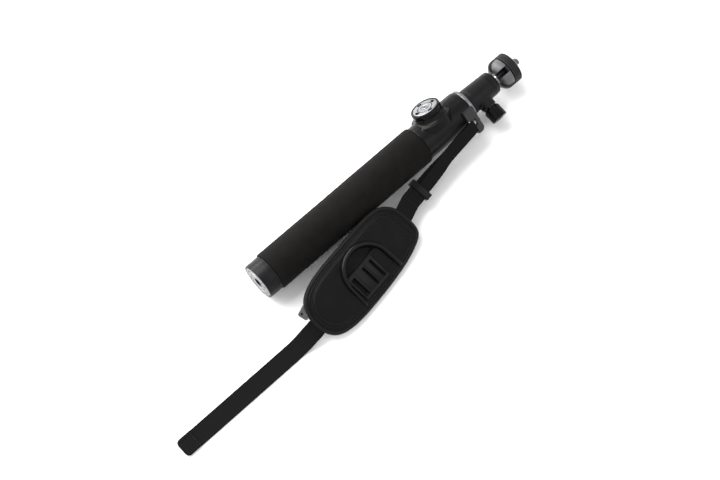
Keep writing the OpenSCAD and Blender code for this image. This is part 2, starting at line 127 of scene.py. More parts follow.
# ---------------------------------------------------------------- camera and stage
VIEW_AZIMUTH = math.radians(-42.78)
VIEW_ELEVATION = math.radians(69.06)
VIEW_DISTANCE = 1.3573
VIEW_TARGET = Vector((0.0804, -0.0274, 0))
VIEW_LENS = 88.45


def add_camera():
    """The camera looks down at the table, turned about its target by azimuth and elevation."""
    flat = math.cos(VIEW_ELEVATION)
    back = Vector((
        math.sin(VIEW_AZIMUTH) * flat, -math.cos(VIEW_AZIMUTH) * flat, math.sin(VIEW_ELEVATION)))
    data = bpy.data.cameras.new("camera")
    data.lens = VIEW_LENS
    camera = bpy.data.objects.new("camera", data)
    camera.matrix_world = axes_at(
        VIEW_TARGET + back * VIEW_DISTANCE, back, (math.cos(VIEW_AZIMUTH), math.sin(VIEW_AZIMUTH), 0))
    bpy.context.scene.collection.objects.link(camera)
    bpy.context.scene.camera = camera


def add_light(name, at, aim, size, watts):
    data = bpy.data.lights.new(name, "AREA")
    data.shape = "RECTANGLE"
    data.size, data.size_y = size
    data.energy = watts
    light = bpy.data.objects.new(name, data)
    light.matrix_world = axes_at(at, Vector(at) - Vector(aim), (1, 0, 0))
    bpy.context.scene.collection.objects.link(light)


def add_studio():
    """A white room with a soft light above, a low strip at the far side and a weak fill at the near side."""
    world = bpy.data.worlds.new("studio")
    world.use_nodes = True
    world.node_tree.nodes["Background"].inputs["Color"].default_value = (1, 1, 1, 1)
    world.node_tree.nodes["Background"].inputs["Strength"].default_value = 0.95
    bpy.context.scene.world = world
    bpy.context.scene.view_settings.view_transform = "Standard"
    centre = (0.08, -0.03, 0)
    add_light("overhead", (-0.1, 0.7, 1.15), centre, (1.0, 0.6), 17)
    add_light("side_strip", (-0.2, 1.0, 0.4), centre, (1.4, 0.3), 18)
    add_light("front_fill", (0.6, -0.9, 1.0), centre, (0.9, 0.9), 3)


# ---------------------------------------------------------------- materials
def srgb(code):
    """A linear colour from an sRGB hex code."""
    parts = [int(code[i:i + 2], 16) / 255 for i in (1, 3, 5)]
    return tuple(c / 12.92 if c <= 0.04045 else ((c + 0.055) / 1.055) ** 2.4 for c in parts) + (1,)


def node(tree, kind, links=None, **settings):
    """Adds a node. Settings are its properties, or its inputs where they are named with a capital.
    A link is a socket, a node for its first output, or a plain number, by the input's name or place."""
    made = tree.nodes.new(kind)
    for key, value in settings.items():
        if key[0].isupper():
            made.inputs[key.replace("_", " ")].default_value = value
        else:
            setattr(made, key, value)
    for key, source in (links or {}).items():
        if isinstance(source, (int, float)):
            made.inputs[key].default_value = source
        else:
            socket = source.outputs[0] if isinstance(source, bpy.types.Node) else source
            tree.links.new(socket, made.inputs[key])
    return made


def finish_of(name, rough, colour=None, **settings):
    """A material with a Principled shader whose plain values are set on its own sockets."""
    made = bpy.data.materials.new(name)
    made.use_nodes = True
    tree = made.node_tree
    shader = tree.nodes["Principled BSDF"]
    shader.inputs["Roughness"].default_value = rough
    if colour:
        shader.inputs["Base Color"].default_value = srgb(colour)
    for key, value in settings.items():
        shader.inputs[key.replace("_", " ")].default_value = value
    made.diffuse_color = srgb(colour) if colour else (0.5, 0.5, 0.5, 1)
    return made, tree, shader


def object_space(tree, to_local=None):
    """Object coordinates, turned into a piece's own frame where one is given."""
    source = node(tree, "ShaderNodeTexCoord").outputs["Object"]
    if to_local is None:
        return source
    back = to_local.inverted()
    return node(
        tree, "ShaderNodeMapping", {"Vector": source},
        Location=back.translation, Rotation=back.to_euler()).outputs["Vector"]


def tint(tree, shader, pattern, low, high, start=0.0, end=1.0):
    """The base colour runs from low to high as a pattern rises from start to end."""
    ramp = node(tree, "ShaderNodeValToRGB", {"Fac": pattern})
    for stop, place, code in zip(ramp.color_ramp.elements, (start, end), (low, high)):
        stop.position = place
        stop.color = srgb(code)
    tree.links.new(ramp.outputs["Color"], shader.inputs["Base Color"])


def grain(tree, where, size_mm, detail=3):
    """A cloudy pattern whose patches are about a given size."""
    return node(
        tree, "ShaderNodeTexNoise", {"Vector": where},
        Scale=1 / (size_mm * MM), Detail=detail).outputs["Fac"]


def mottle(tree, shader, where, low, high, size_mm):
    """The base colour drifts between two close tones over patches of a given size."""
    tint(tree, shader, grain(tree, where, size_mm, 4), low, high, 0.35, 0.65)


def roughen(tree, shader, source, low, high):
    """Roughness runs from low to high with a pattern."""
    spread = node(tree, "ShaderNodeMapRange", {"Value": source}, To_Min=low, To_Max=high)
    tree.links.new(spread.outputs["Result"], shader.inputs["Roughness"])


def emboss(tree, shader, height, depth_mm, strength=1.0, below=None):
    """Bump of a real depth, on top of another bump if one is given."""
    links = {"Height": height}
    if below:
        links["Normal"] = below
    bump = node(tree, "ShaderNodeBump", links, Distance=depth_mm * MM, Strength=strength)
    tree.links.new(bump.outputs["Normal"], shader.inputs["Normal"])
    return bump.outputs["Normal"]


# A wave texture at scale 1 repeats after this length.
WAVE = math.pi / 10


def grip_foam():
    """Closed-cell EVA foam, sanded: dead matte, with open cells under half a millimetre."""
    made, tree, shader = finish_of("closed_cell_foam_sanded", 0.85, Specular_IOR_Level=0.14)
    where = object_space(tree)
    mottle(tree, shader, where, "#080706", "#0e0b0a", 9)
    cells = node(
        tree, "ShaderNodeTexVoronoi", {"Vector": where}, Scale=1 / (0.55 * MM)).outputs["Distance"]
    low = emboss(tree, shader, cells, 0.10, 0.6)
    emboss(tree, shader, grain(tree, where, 3.5), 0.22, 0.5, low)
    return made


def satin_plastic(name, low, high, rough, level):
    """Glass-filled nylon or ABS with a spark-eroded mould finish: an even, fine satin."""
    made, tree, shader = finish_of(name, rough, IOR=1.5, Specular_IOR_Level=level)
    where = object_space(tree)
    mottle(tree, shader, where, low, high, 14)
    fine = grain(tree, where, 0.35, 2)
    roughen(tree, shader, grain(tree, where, 5), rough - 0.06, rough + 0.08)
    emboss(tree, shader, fine, 0.03, 0.5)
    return made


def grooved_plastic():
    """Satin nylon: painted shade darkens it down in its grooves, nearer its axis, and leaves its lobes grey.
    """
    made, tree, shader = finish_of("satin_nylon_lobed", 0.38, IOR=1.5, Specular_IOR_Level=0.35)
    where = object_space(tree)
    flat = node(tree, "ShaderNodeMapping", {"Vector": object_space(tree, POLE)}, Scale=(1, 1, 0))
    reach = node(tree, "ShaderNodeVectorMath", {"Vector": flat}, operation="LENGTH").outputs["Value"]
    # Painted shade: the base colour runs from near black close to the axis, down in the grooves, to grey out
    # on the lobes, with a cloudy edge.
    shade_reach = node(
        tree, "ShaderNodeMath", {0: grain(tree, flat, 3), 1: 3 * MM, 2: reach}, operation="MULTIPLY_ADD")
    groove_shade = node(
        tree, "ShaderNodeMapRange", {"Value": shade_reach}, From_Min=7.5 * MM, From_Max=13.5 * MM)
    tint(tree, shader, groove_shade, "#0f0f10", "#565658")
    roughen(tree, shader, grain(tree, where, 5), 0.32, 0.46)
    emboss(tree, shader, grain(tree, where, 0.35, 2), 0.03, 0.5)
    return made


def gloss_plastic():
    """Polished-mould ABS: a clear dark reflection, faint sink ripples and hairline scuffs."""
    made, tree, shader = finish_of("gloss_abs_moulded", 0.16, IOR=1.5, Specular_IOR_Level=0.12)
    where = object_space(tree)
    mottle(tree, shader, where, "#080708", "#0c0b0c", 10)
    roughen(tree, shader, grain(tree, where, 2.2, 6), 0.12, 0.26)
    emboss(tree, shader, grain(tree, where, 6, 1), 0.05, 0.35)
    return made


def coated_metal():
    """Die-cast zinc under a black satin powder coat: tiny orange-peel."""
    made, tree, shader = finish_of(
        "powder_coated_zinc", 0.4, IOR=1.5, Coat_Weight=0.03, Coat_Roughness=0.3, Specular_IOR_Level=0.14)
    where = object_space(tree)
    mottle(tree, shader, where, "#0b0b0c", "#101011", 7)
    roughen(tree, shader, grain(tree, where, 4), 0.33, 0.46)
    emboss(tree, shader, grain(tree, where, 0.8, 2), 0.04, 0.5)
    return made


def turned_plate(name, frame_of, low, high):
    """Stainless plate faced on a lathe: fine rings about its own axis, satin between them."""
    made, tree, shader = finish_of(name, 0.3, Metallic=1.0)
    where = object_space(tree, frame_of)
    mottle(tree, shader, where, low, high, 6)
    rings = node(
        tree, "ShaderNodeTexWave", {"Vector": where}, wave_type="RINGS", rings_direction="Z",
        Scale=WAVE / (0.754 * MM), Distortion=0.6, Detail=3, Detail_Scale=2)
    roughen(tree, shader, rings.outputs["Fac"], 0.24, 0.42)
    low_bump = emboss(tree, shader, rings.outputs["Fac"], 0.02, 0.6)
    emboss(tree, shader, grain(tree, where, 0.4, 2), 0.01, 0.4, low_bump)
    return made


def bright_plating():
    """Chrome plate: mirror bright, dulled here and there by handling."""
    made, tree, shader = finish_of("chrome_plate_polished", 0.1, Metallic=1.0)
    where = object_space(tree)
    mottle(tree, shader, where, "#cfcfd2", "#dadadc", 5)
    roughen(tree, shader, grain(tree, where, 3, 5), 0.06, 0.2)
    return made


def drawn_tube():
    """Aluminium tube, drawn and clear anodised: fine marks along its length."""
    made, tree, shader = finish_of("anodised_aluminium_drawn", 0.32, Metallic=1.0)
    where = object_space(tree)
    stretched = node(tree, "ShaderNodeMapping", {"Vector": where}, Scale=(0.03, 1, 1))
    mottle(tree, shader, where, "#a3a4a8", "#adaeb2", 20)
    marks = grain(tree, stretched, 0.5, 4)
    roughen(tree, shader, marks, 0.24, 0.42)
    emboss(tree, shader, marks, 0.01, 0.6)
    return made


def machined_brass():
    """Free-cutting brass, left as machined: warm, with fine tool marks."""
    made, tree, shader = finish_of("brass_machined", 0.28, Metallic=1.0)
    where = object_space(tree)
    mottle(tree, shader, where, "#b08a45", "#c39d58", 3)
    roughen(tree, shader, grain(tree, where, 0.8), 0.2, 0.4)
    return made


def natural_acetal():
    """Unpigmented acetal: milky and waxy, with a soft sheen."""
    made, tree, shader = finish_of("acetal_natural_moulded", 0.35, IOR=1.48)
    where = object_space(tree)
    mottle(tree, shader, where, "#dcdad2", "#e6e4dd", 8)
    roughen(tree, shader, grain(tree, where, 1.5), 0.3, 0.44)
    return made


def moulded_rubber():
    """Moulded nitrile rubber: black, slightly dusty, with a fine pebbled skin."""
    made, tree, shader = finish_of("nitrile_rubber_moulded", 0.55, IOR=1.52, Specular_IOR_Level=0.3)
    where = object_space(tree)
    mottle(tree, shader, where, "#0b0a0b", "#131213", 4)
    roughen(tree, shader, grain(tree, where, 2.5, 5), 0.42, 0.62)
    emboss(tree, shader, grain(tree, where, 0.6, 2), 0.04, 0.5)
    return made


RIB = 1.1


def woven_nylon():
    """Nylon webbing: weft ribs across the band every 1.1 mm, each split by the warp, with a dry sheen.
    The real ribs are nearer 0.7 mm, and are drawn coarser so that they show."""
    made, tree, shader = finish_of(
        "nylon_webbing_black", 0.78, Sheen_Weight=0.03, Sheen_Roughness=0.5, Specular_IOR_Level=0.1)
    map_of = node(tree, "ShaderNodeUVMap", uv_map="cloth").outputs["UV"]
    parts = node(tree, "ShaderNodeSeparateXYZ", {"Vector": map_of})
    across, along = parts.outputs["X"], parts.outputs["Y"]
    per_rib = 2 * math.pi / RIB
    column = node(tree, "ShaderNodeMath", {0: across, 1: RIB}, operation="DIVIDE")
    column = node(tree, "ShaderNodeMath", {0: column}, operation="ROUND")
    odd = node(tree, "ShaderNodeMath", {0: column, 1: 1.0}, operation="PINGPONG")
    row = node(tree, "ShaderNodeMath", {0: odd, 1: RIB / 2, 2: along}, operation="MULTIPLY_ADD")
    row = node(tree, "ShaderNodeMath", {0: row, 1: per_rib}, operation="MULTIPLY")
    ribs = node(tree, "ShaderNodeMath", {0: row}, operation="SINE")
    warp = node(tree, "ShaderNodeMath", {0: across, 1: per_rib}, operation="MULTIPLY")
    warp = node(tree, "ShaderNodeMath", {0: warp}, operation="COSINE")
    # Ribs and warp together lift the cloth by 0.15 and 0.1 about its middle, a half.
    lifted = node(tree, "ShaderNodeMath", {0: warp, 1: 0.1, 2: 0.5}, operation="MULTIPLY_ADD")
    lifted = node(tree, "ShaderNodeMath", {0: ribs, 1: 0.15, 2: lifted}, operation="MULTIPLY_ADD")
    fuzz = grain(tree, object_space(tree), 0.4)
    tone = node(tree, "ShaderNodeMath", {0: fuzz, 1: 0.3}, operation="MULTIPLY")
    tone = node(tree, "ShaderNodeMath", {0: lifted, 1: 0.7, 2: tone}, operation="MULTIPLY_ADD")
    tint(tree, shader, tone, "#060505", "#0e0c0c", 0.3, 0.7)
    bump = emboss(tree, shader, lifted.outputs[0], 0.22, 0.8)
    emboss(tree, shader, fuzz, 0.05, 0.4, bump)
    return made


def grained_leathercloth():
    """Polyurethane leathercloth over foam: a pebble grain about a millimetre across, satin on its peaks."""
    made, tree, shader = finish_of("leathercloth_embossed", 0.55, IOR=1.48, Specular_IOR_Level=0.12)
    where = object_space(tree)
    mottle(tree, shader, where, "#060505", "#0b090a", 12)
    pebbles = node(
        tree, "ShaderNodeTexVoronoi", {"Vector": where}, feature="SMOOTH_F1",
        Scale=1 / (1.1 * MM)).outputs["Distance"]
    roughen(tree, shader, pebbles, 0.45, 0.68)
    low = emboss(tree, shader, pebbles, 0.12, 0.5)
    emboss(tree, shader, grain(tree, where, 7, 3), 0.3, 0.4, low)
    return made


def lycra_binding():
    """Folded binding tape: a close knit with a low sheen."""
    made, tree, shader = finish_of(
        "binding_tape_knitted", 0.6, Sheen_Weight=0.05, Sheen_Roughness=0.4, Specular_IOR_Level=0.18)
    where = object_space(tree)
    mottle(tree, shader, where, "#060506", "#0b0a0a", 1.2)
    knit = node(tree, "ShaderNodeTexVoronoi", {"Vector": where}, Scale=1 / (0.7 * MM)).outputs["Distance"]
    emboss(tree, shader, knit, 0.10, 0.7)
    return made


def sewing_thread():
    """Bonded polyester thread, twisted, a shade lighter than the cloth."""
    made, tree, shader = finish_of("polyester_thread_twisted", 0.6, Sheen_Weight=0.05, Specular_IOR_Level=0.2)
    where = object_space(tree)
    mottle(tree, shader, where, "#0e0c0d", "#171516", 0.5)
    emboss(tree, shader, grain(tree, where, 0.25, 2), 0.05, 0.5)
    return made


def grey_tape():
    """Grey grosgrain tape, folded: ribs about a millimetre apart and a dry surface."""
    made, tree, shader = finish_of("grosgrain_tape_grey", 0.75, Sheen_Weight=0.2)
    where = object_space(tree, PAD)
    mottle(tree, shader, where, "#3f3d3f", "#525052", 1.5)
    ribs = node(
        tree, "ShaderNodeTexWave", {"Vector": where}, wave_type="BANDS", bands_direction="X",
        Scale=WAVE / (1.068 * MM), Distortion=0.3)
    emboss(tree, shader, ribs.outputs["Fac"], 0.1, 0.7)
    return made


def stage_paper():
    """The floor: seamless white studio paper."""
    made, tree, shader = finish_of("studio_paper_white", 0.9, "#f7f7f7")
    emboss(tree, shader, grain(tree, object_space(tree), 2), 0.01, 0.2)
    return made


FOAM = grip_foam()
DARK_SATIN = satin_plastic("satin_nylon_dark", "#080808", "#0c0c0d", 0.3, 0.13)
LUG_GREY = satin_plastic("satin_nylon_lug", "#19191b", "#232325", 0.34, 0.35)
SATIN_BLACK = satin_plastic("satin_acetal_black", "#050405", "#080708", 0.34, 0.17)
CAP_SATIN = satin_plastic("satin_nylon_butt", "#0c0b0d", "#131214", 0.38, 0.16)
WHEEL_GREY = grooved_plastic()
GLOSS = gloss_plastic()
COATED = coated_metal()
DIAL_METAL = turned_plate("stainless_faced_dial", BOSS, "#87878a", "#9c9c9f")
POLE_METAL = turned_plate("stainless_faced_butt", POLE, "#747477", "#8e8e91")
CHROME = bright_plating()
RING_METAL = turned_plate("satin_nickel_ring", POLE, "#707073", "#858588")
STEEL = turned_plate("plated_steel_turned", POLE, "#7e7f83", "#94959a")
DARK_STEEL = turned_plate("blackened_steel_turned", POLE, "#0c0c0d", "#151516")
TUBE = drawn_tube()
BRASS = machined_brass()
ACETAL = natural_acetal()
RUBBER = moulded_rubber()
WEBBING = woven_nylon()
LEATHER = grained_leathercloth()
BINDING = lycra_binding()
THREAD = sewing_thread()
TAPE = grey_tape()
PAPER = stage_paper()


# ---------------------------------------------------------------- modelling
def pick(obj=None):
    """Selects one object alone, or nothing."""
    bpy.ops.object.select_all(action="DESELECT")
    if obj:
        obj.select_set(True)
        bpy.context.view_layer.objects.active = obj


def settle(obj, where):
    """Puts a piece in its place, with that place in its mesh."""
    obj.data.transform(where @ obj.matrix_world)
    obj.matrix_world = Matrix.Identity(4)
    return obj


def modify(obj, kind, **settings):
    """Adds a modifier and applies it."""
    pick(obj)
    made = obj.modifiers.new(kind.lower(), kind)
    for key, value in settings.items():
        setattr(made, key, value)
    bpy.ops.object.modifier_apply(modifier=made.name)
    return obj


def draw(points):
    """A wire drawn by extruding from corner to corner, left in edit mode and all selected."""
    pick()
    bpy.ops.mesh.primitive_plane_add(size=MM)
    bpy.ops.object.mode_set(mode="EDIT")
    bpy.ops.mesh.merge(type="CENTER")
    bpy.ops.transform.translate(value=points[0])
    for here, there in zip(points, points[1:]):
        step = Vector(there) - Vector(here)
        bpy.ops.mesh.extrude_region_move(TRANSFORM_OT_translate={"value": step})
    bpy.ops.mesh.select_all(action="SELECT")


def turned(name, profile, where=POLE, steps=96):
    """A turned piece: corners of (radius, height) in millimetres, spun about the frame's Z axis."""
    solid = profile[0][0] == 0
    corners = profile if solid else profile + profile[:1]
    draw([(r * MM, 0, z * MM) for r, z in corners])
    bpy.ops.mesh.spin(steps=steps, angle=2 * math.pi, center=(0, 0, 0), axis=(0, 0, 1))
    bpy.ops.mesh.select_all(action="SELECT")
    bpy.ops.mesh.remove_doubles(threshold=MM / 1000)
    bpy.ops.mesh.normals_make_consistent(inside=False)
    bpy.ops.object.mode_set(mode="OBJECT")
    made = bpy.context.object
    made.name = name
    return settle(made, where)


def rod(name, r, z0, z1, at=(0, 0), where=POLE, sides=48):
    """A round bar between two heights on the frame's Z axis, in millimetres."""
    pick()
    bpy.ops.mesh.primitive_cylinder_add(
        vertices=sides, radius=r * MM, depth=(z1 - z0) * MM,
        location=(at[0] * MM, at[1] * MM, (z0 + z1) / 2 * MM))
    made = bpy.context.object
    made.name = name
    return settle(made, where)


def block(name, low, high, where):
    """A block between two corners in millimetres."""
    pick()
    size = [(h - l) * MM for l, h in zip(low, high)]
    centre = [(h + l) / 2 * MM for l, h in zip(low, high)]
    bpy.ops.mesh.primitive_cube_add(size=1, location=centre, scale=size)
    made = bpy.context.object
    made.name = name
    return settle(made, where)


def combine(obj, others, operation):
    for other in others:
        modify(obj, "BOOLEAN", object=other, operation=operation, solver="EXACT")
        bpy.data.objects.remove(other)
    return obj


def cut(obj, *tools):
    return combine(obj, tools, "DIFFERENCE")


def fuse(obj, *others):
    return combine(obj, others, "UNION")


def soften(obj, width_mm, segments=2):
    """Rounds every edge that turns by more than 30 degrees."""
    modify(
        obj, "BEVEL", width=width_mm * MM, segments=segments, limit_method="ANGLE",
        angle_limit=math.radians(30), use_clamp_overlap=True)
    return modify(obj, "WELD", merge_threshold=MM / 500)


def melt(obj, voxel_mm, rounds):
    """Blends fused solids into one cast shape, as a pattern-maker fillets them."""
    modify(obj, "REMESH", mode="VOXEL", voxel_size=voxel_mm * MM)
    return modify(obj, "SMOOTH", factor=0.5, iterations=rounds)


def fit(obj, body, finish, slot, *nodes, angle=35):
    """Gives a piece its finish and its body. The nodes are those that it stands for."""
    obj.data.materials.clear()
    obj.data.materials.append(finish)
    pick(obj)
    bpy.ops.object.shade_smooth_by_angle(angle=math.radians(angle))
    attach(obj, body)
    if nodes:
        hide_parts(*nodes)
    return obj


def carry(finish, *nodes):
    """CAD nodes that keep their shape and take a finish."""
    for name in nodes:
        NODES[name].data.materials.clear()
        NODES[name].data.materials.append(finish)


def arc(r, degrees, at=(0, 0)):
    """Corners on a round of radius r about a middle, one for each angle."""
    turns = [math.radians(d) for d in degrees]
    return [(at[0] + r * math.cos(a), at[1] + r * math.sin(a)) for a in turns]


def tube_profile(x0, x1, outer, inner, chamfer=0.3):
    """The section of a tube whose four edges are broken."""
    return [
        (inner, x0 + chamfer / 2), (inner + chamfer / 2, x0), (outer - chamfer, x0), (outer, x0 + chamfer),
        (outer, x1 - chamfer), (outer - chamfer, x1), (inner + chamfer / 2, x1), (inner, x1 - chamfer / 2)]


def thread_ridge(name, r, x0, x1, outward=True):
    """A sharp ridge wound round the pole at the thread's root, closed at both ends."""
    crest = r + THREAD_RIDGE if outward else r - THREAD_RIDGE
    corners = [(r, 0), (crest, THREAD_PITCH / 2), (r, THREAD_PITCH * 0.9), (r, 0)]
    draw([(across * MM, 0, along * MM) for across, along in corners])
    bpy.ops.mesh.remove_doubles(threshold=MM / 1000)
    bpy.ops.object.mode_set(mode="OBJECT")
    made = bpy.context.object
    made.name = name
    turns = int((x1 - x0) / THREAD_PITCH)
    modify(
        made, "SCREW", angle=2 * math.pi, screw_offset=THREAD_PITCH * MM, iterations=turns, steps=40,
        render_steps=40, axis="Z")
    pick(made)
    bpy.ops.object.mode_set(mode="EDIT")
    bpy.ops.mesh.select_all(action="SELECT")
    bpy.ops.mesh.remove_doubles(threshold=MM / 1000)
    bpy.ops.mesh.fill_holes(sides=0)
    bpy.ops.mesh.normals_make_consistent(inside=False)
    bpy.ops.object.mode_set(mode="OBJECT")
    made.data.transform(Matrix.Translation((0, 0, x0 * MM)))
    return settle(made, POLE)


# ---------------------------------------------------------------- soft goods
def smooth_between(four, t):
    """The point a share t of the way between the middle two of four points, on a smooth curve."""
    a, b, c, d = (Vector(point) for point in four)
    bend = (2 * a - 5 * b + 4 * c - d) * t * t + (3 * b - a - 3 * c + d) * t ** 3
    return 0.5 * (2 * b + (c - a) * t + bend)


def curve_through(stations, step):
    """Centres and across-directions every step metres, on a smooth curve through the stations."""
    out = []
    last = len(stations) - 1
    for i in range(last):
        four = [stations[max(i - 1, 0)], stations[i], stations[i + 1], stations[min(i + 2, last)]]
        count = max(2, round((Vector(four[2][0]) - Vector(four[1][0])).length / step))
        for k in range(count):
            out.append(tuple(smooth_between([s[j] for s in four], k / count) for j in (0, 1)))
    out.append((Vector(stations[last][0]), Vector(stations[last][1])))
    return out


def band_section(half, thick):
    """The section of a woven band: flat faces, a slightly thicker selvedge and round edges."""
    top = [(-half * f, thick / 2 * g) for f, g in (
        (1.0, 0.45), (0.965, 0.9), (0.91, 1.0), (0.8, 0.9), (0.4, 0.88), (0.0, 0.88),
        (-0.4, 0.88), (-0.8, 0.9), (-0.91, 1.0), (-0.965, 0.9), (-1.0, 0.45))]
    return top + [(x, -y) for x, y in reversed(top)]


def skin(mesh, rings, closed=False):
    """Joins neighbouring rings by faces, which it returns, and caps both ends of an open run."""
    around = len(rings[0])
    faces = []
    for near, far in zip(rings, rings[1:] + (rings[:1] if closed else [])):
        for k in range(around):
            n = (k + 1) % around
            faces.append(mesh.faces.new((near[k], near[n], far[n], far[k])))
    if not closed:
        mesh.faces.new(list(reversed(rings[0])))
        mesh.faces.new(rings[-1])
    return faces


def finished(name, mesh):
    """The object made from a bmesh, with its faces outwards."""
    bmesh.ops.recalc_face_normals(mesh, faces=mesh.faces)
    data = bpy.data.meshes.new(name)
    mesh.to_mesh(data)
    mesh.free()
    made = bpy.data.objects.new(name, data)
    bpy.context.scene.collection.objects.link(made)
    return made


def band(name, stations, width_mm, thick_mm, step_mm, ripple, round_tip=0.0):
    """Webbing along stations of (centre, across), in metres. round_tip rounds the far end's corners."""
    path = curve_through(stations, step_mm * MM)
    mesh = bmesh.new()
    cloth = mesh.loops.layers.uv.new("cloth")
    rings, marks, run = [], {}, 0.0
    total = sum((b[0] - a[0]).length for a, b in zip(path, path[1:]))
    for i, (centre, across) in enumerate(path):
        ahead = (path[min(i + 1, len(path) - 1)][0] - path[max(i - 1, 0)][0]).normalized()
        side = (across - ahead * across.dot(ahead)).normalized()
        up = ahead.cross(side)
        if i:
            run += (centre - path[i - 1][0]).length
        left = total - run
        half = width_mm / 2 * MM
        if round_tip and left < round_tip * MM:
            gone = 1 - left / (round_tip * MM)
            half -= round_tip * MM * (1 - math.sqrt(max(0.0, 1 - gone * gone)))
        ring = []
        for x, y in band_section(half, thick_mm * MM):
            point = centre + side * x + up * y
            point += up * ripple * MM * noise.noise(point / (9 * MM))
            ring.append(mesh.verts.new(point))
            marks[ring[-1]] = (x / MM, run / MM)
        rings.append(ring)
    for face in skin(mesh, rings):
        for loop in face.loops:
            loop[cloth].uv = marks[loop.vert]
    return finished(name, mesh)


def cording(name, points, section, closed=True):
    """A soft edge swept along points of (place, outward, up), through a section of (out, up) offsets."""
    mesh = bmesh.new()
    rings = [[mesh.verts.new(p + out * x + up * y) for x, y in section(i / len(points))]
             for i, (p, out, up) in enumerate(points)]
    skin(mesh, rings, closed)
    return finished(name, mesh)


def oval(wide_mm, high_mm, sides):
    """The section of a round or flattened edge."""
    return [(wide_mm / 2 * MM * math.cos(2 * math.pi * k / sides),
             high_mm / 2 * MM * math.sin(2 * math.pi * k / sides)) for k in range(sides)]


def stitching(name, points, pitch_mm=2.6, length_mm=1.7, thick_mm=0.42):
    """A row of stitches along points of (place, up): each a small bead, dipping at both ends."""
    mesh = bmesh.new()
    run, due = 0.0, 0.0
    for (a, up_a), (b, _) in zip(points, points[1:]):
        length = (b - a).length
        while due < run + length:
            along = (b - a).normalized()
            centre = a + along * (due - run)
            side = along.cross(up_a).normalized()
            rings = []
            for f, g in ((-0.5, 0.35), (-0.34, 0.85), (0, 1.0), (0.34, 0.85), (0.5, 0.35)):
                lift = up_a * (0.12 * g * MM)
                hub = centre + along * (f * length_mm * MM) + lift
                rings.append([mesh.verts.new(
                    hub + (side * math.cos(w) + up_a * math.sin(w)) * thick_mm / 2 * MM * g)
                    for w in [math.pi * k / 3 for k in range(6)]])
            skin(mesh, rings)
            due += pitch_mm * MM
        run += length
    return finished(name, mesh)


# ---------------------------------------------------------------- handle and butt
GRIP_R = radius("foam_grip")
TUBE_R = radius("handle_tube")
CAP_R = radius("butt_cap")
SOCKET_R = 3.2
# Camera screws have 20 threads to the inch. Their ridge is drawn this high.
THREAD_PITCH = 1.27
THREAD_RIDGE = 0.45


def make_handle():
    """The foam sleeve, the butt cap, and the bright face plate with its inlaid rings and two tool holes."""
    x0, x1 = span("foam_grip")
    sleeve = turned("grip_sleeve", [
        (TUBE_R, x0 + 0.2), (GRIP_R - 1.2, x0), (GRIP_R - 0.35, x0 + 0.35), (GRIP_R, x0 + 1.3),
        (GRIP_R, x0 + 30), (GRIP_R - 0.12, x0 + 60), (GRIP_R, x0 + 95),
        (GRIP_R, x1 - 1.3), (GRIP_R - 0.35, x1 - 0.35), (GRIP_R - 1.2, x1), (TUBE_R, x1 - 0.2)])
    fit(sleeve, "handle", FOAM, "foam", "foam_grip", angle=60)

    c1 = span("butt_cap")[1]
    cap = turned("butt_cap_ring", [
        (CAP_R - 1.45, 0), (CAP_R - 0.6, 0), (CAP_R - 0.15, 0.25), (CAP_R, 0.7), (CAP_R, c1 - 2.2),
        (CAP_R - 0.25, c1 - 2.0), (CAP_R - 0.25, c1 - 1.5), (CAP_R, c1 - 1.3), (CAP_R, c1 - 0.25),
        (CAP_R - 0.25, c1), (TUBE_R + 0.05, c1), (TUBE_R + 0.05, c1 - 2), (9, c1 - 2.4), (9, 9.5),
        (6.02, 9.5), (6.02, 1.45), (CAP_R - 1.45, 1.45)])
    fit(cap, "handle", CAP_SATIN, "dark_satin_plastic", "butt_cap")

    plate_r = radius("butt_plate")
    rings = [(5.02, 0.12)]
    grooves = (7.4, 11.0)
    for groove in grooves:
        rings += [(groove - 0.45, 0.02), (groove - 0.3, 0.3), (groove + 0.3, 0.3), (groove + 0.45, 0.02)]
    rings += [(plate_r - 0.35, 0.0), (plate_r, 0.3), (plate_r, 1.35), (5.02, 1.35)]
    plate = turned("butt_face_plate", rings)
    for groove in grooves:
        inlay = turned(f"butt_ring_inlay_{round(groove)}", [
            (groove - 0.28, 0.29), (groove + 0.28, 0.29), (groove + 0.28, 0.16), (groove - 0.28, 0.16)])
        fit(inlay, "handle", DARK_STEEL, "chrome")
    holes = [rod("tool", 0.8, -1, 0.8, at, sides=24) for at in arc(9.2, (60, 240))]
    fit(cut(plate, *holes), "handle", POLE_METAL, "silver_plate", "butt_plate")


def make_insert():
    """The tripod socket's insert and its thread."""
    insert = turned("socket_insert", [
        (0, 11.1), (9, 11.1), (9, 9.52), (5.98, 9.52), (5.98, 1.4), (4.98, 1.4), (4.98, 0.1),
        (SOCKET_R + 0.55, 0), (SOCKET_R, 0.55), (SOCKET_R, 9.5), (0, 9.5)])
    fit(insert, "handle", DARK_STEEL, "chrome", "tripod_insert")
    ridge = thread_ridge("socket_thread", SOCKET_R + 0.02, 0.7, 9.3, outward=False)
    fit(ridge, "handle", DARK_STEEL, "chrome")


def make_inner_handle():
    """The tube under the foam, and the rubber bumper at its end."""
    for name, inner, finish, slot in (
            ("handle_tube", TUBE_R - 1, TUBE, "tube_alloy"), ("end_bumper", 5, RUBBER, "black_rubber")):
        x0, x1 = span(name)
        fit(turned(name + "_turned", tube_profile(x0, x1, radius(name), inner)), "handle", finish, slot, name)


# ---------------------------------------------------------------- neck, lug and lock knob
NECK_R = 14.9
# The trim ring and the bush meet at this radius.
RING_SEAT_R = 12.4
# The lock knob's radius, and its foot and top along the boss from the pole.
KNOB_R = 12.4
LOCK_SEAT = 17.4
KNOB_TOP = 22.2


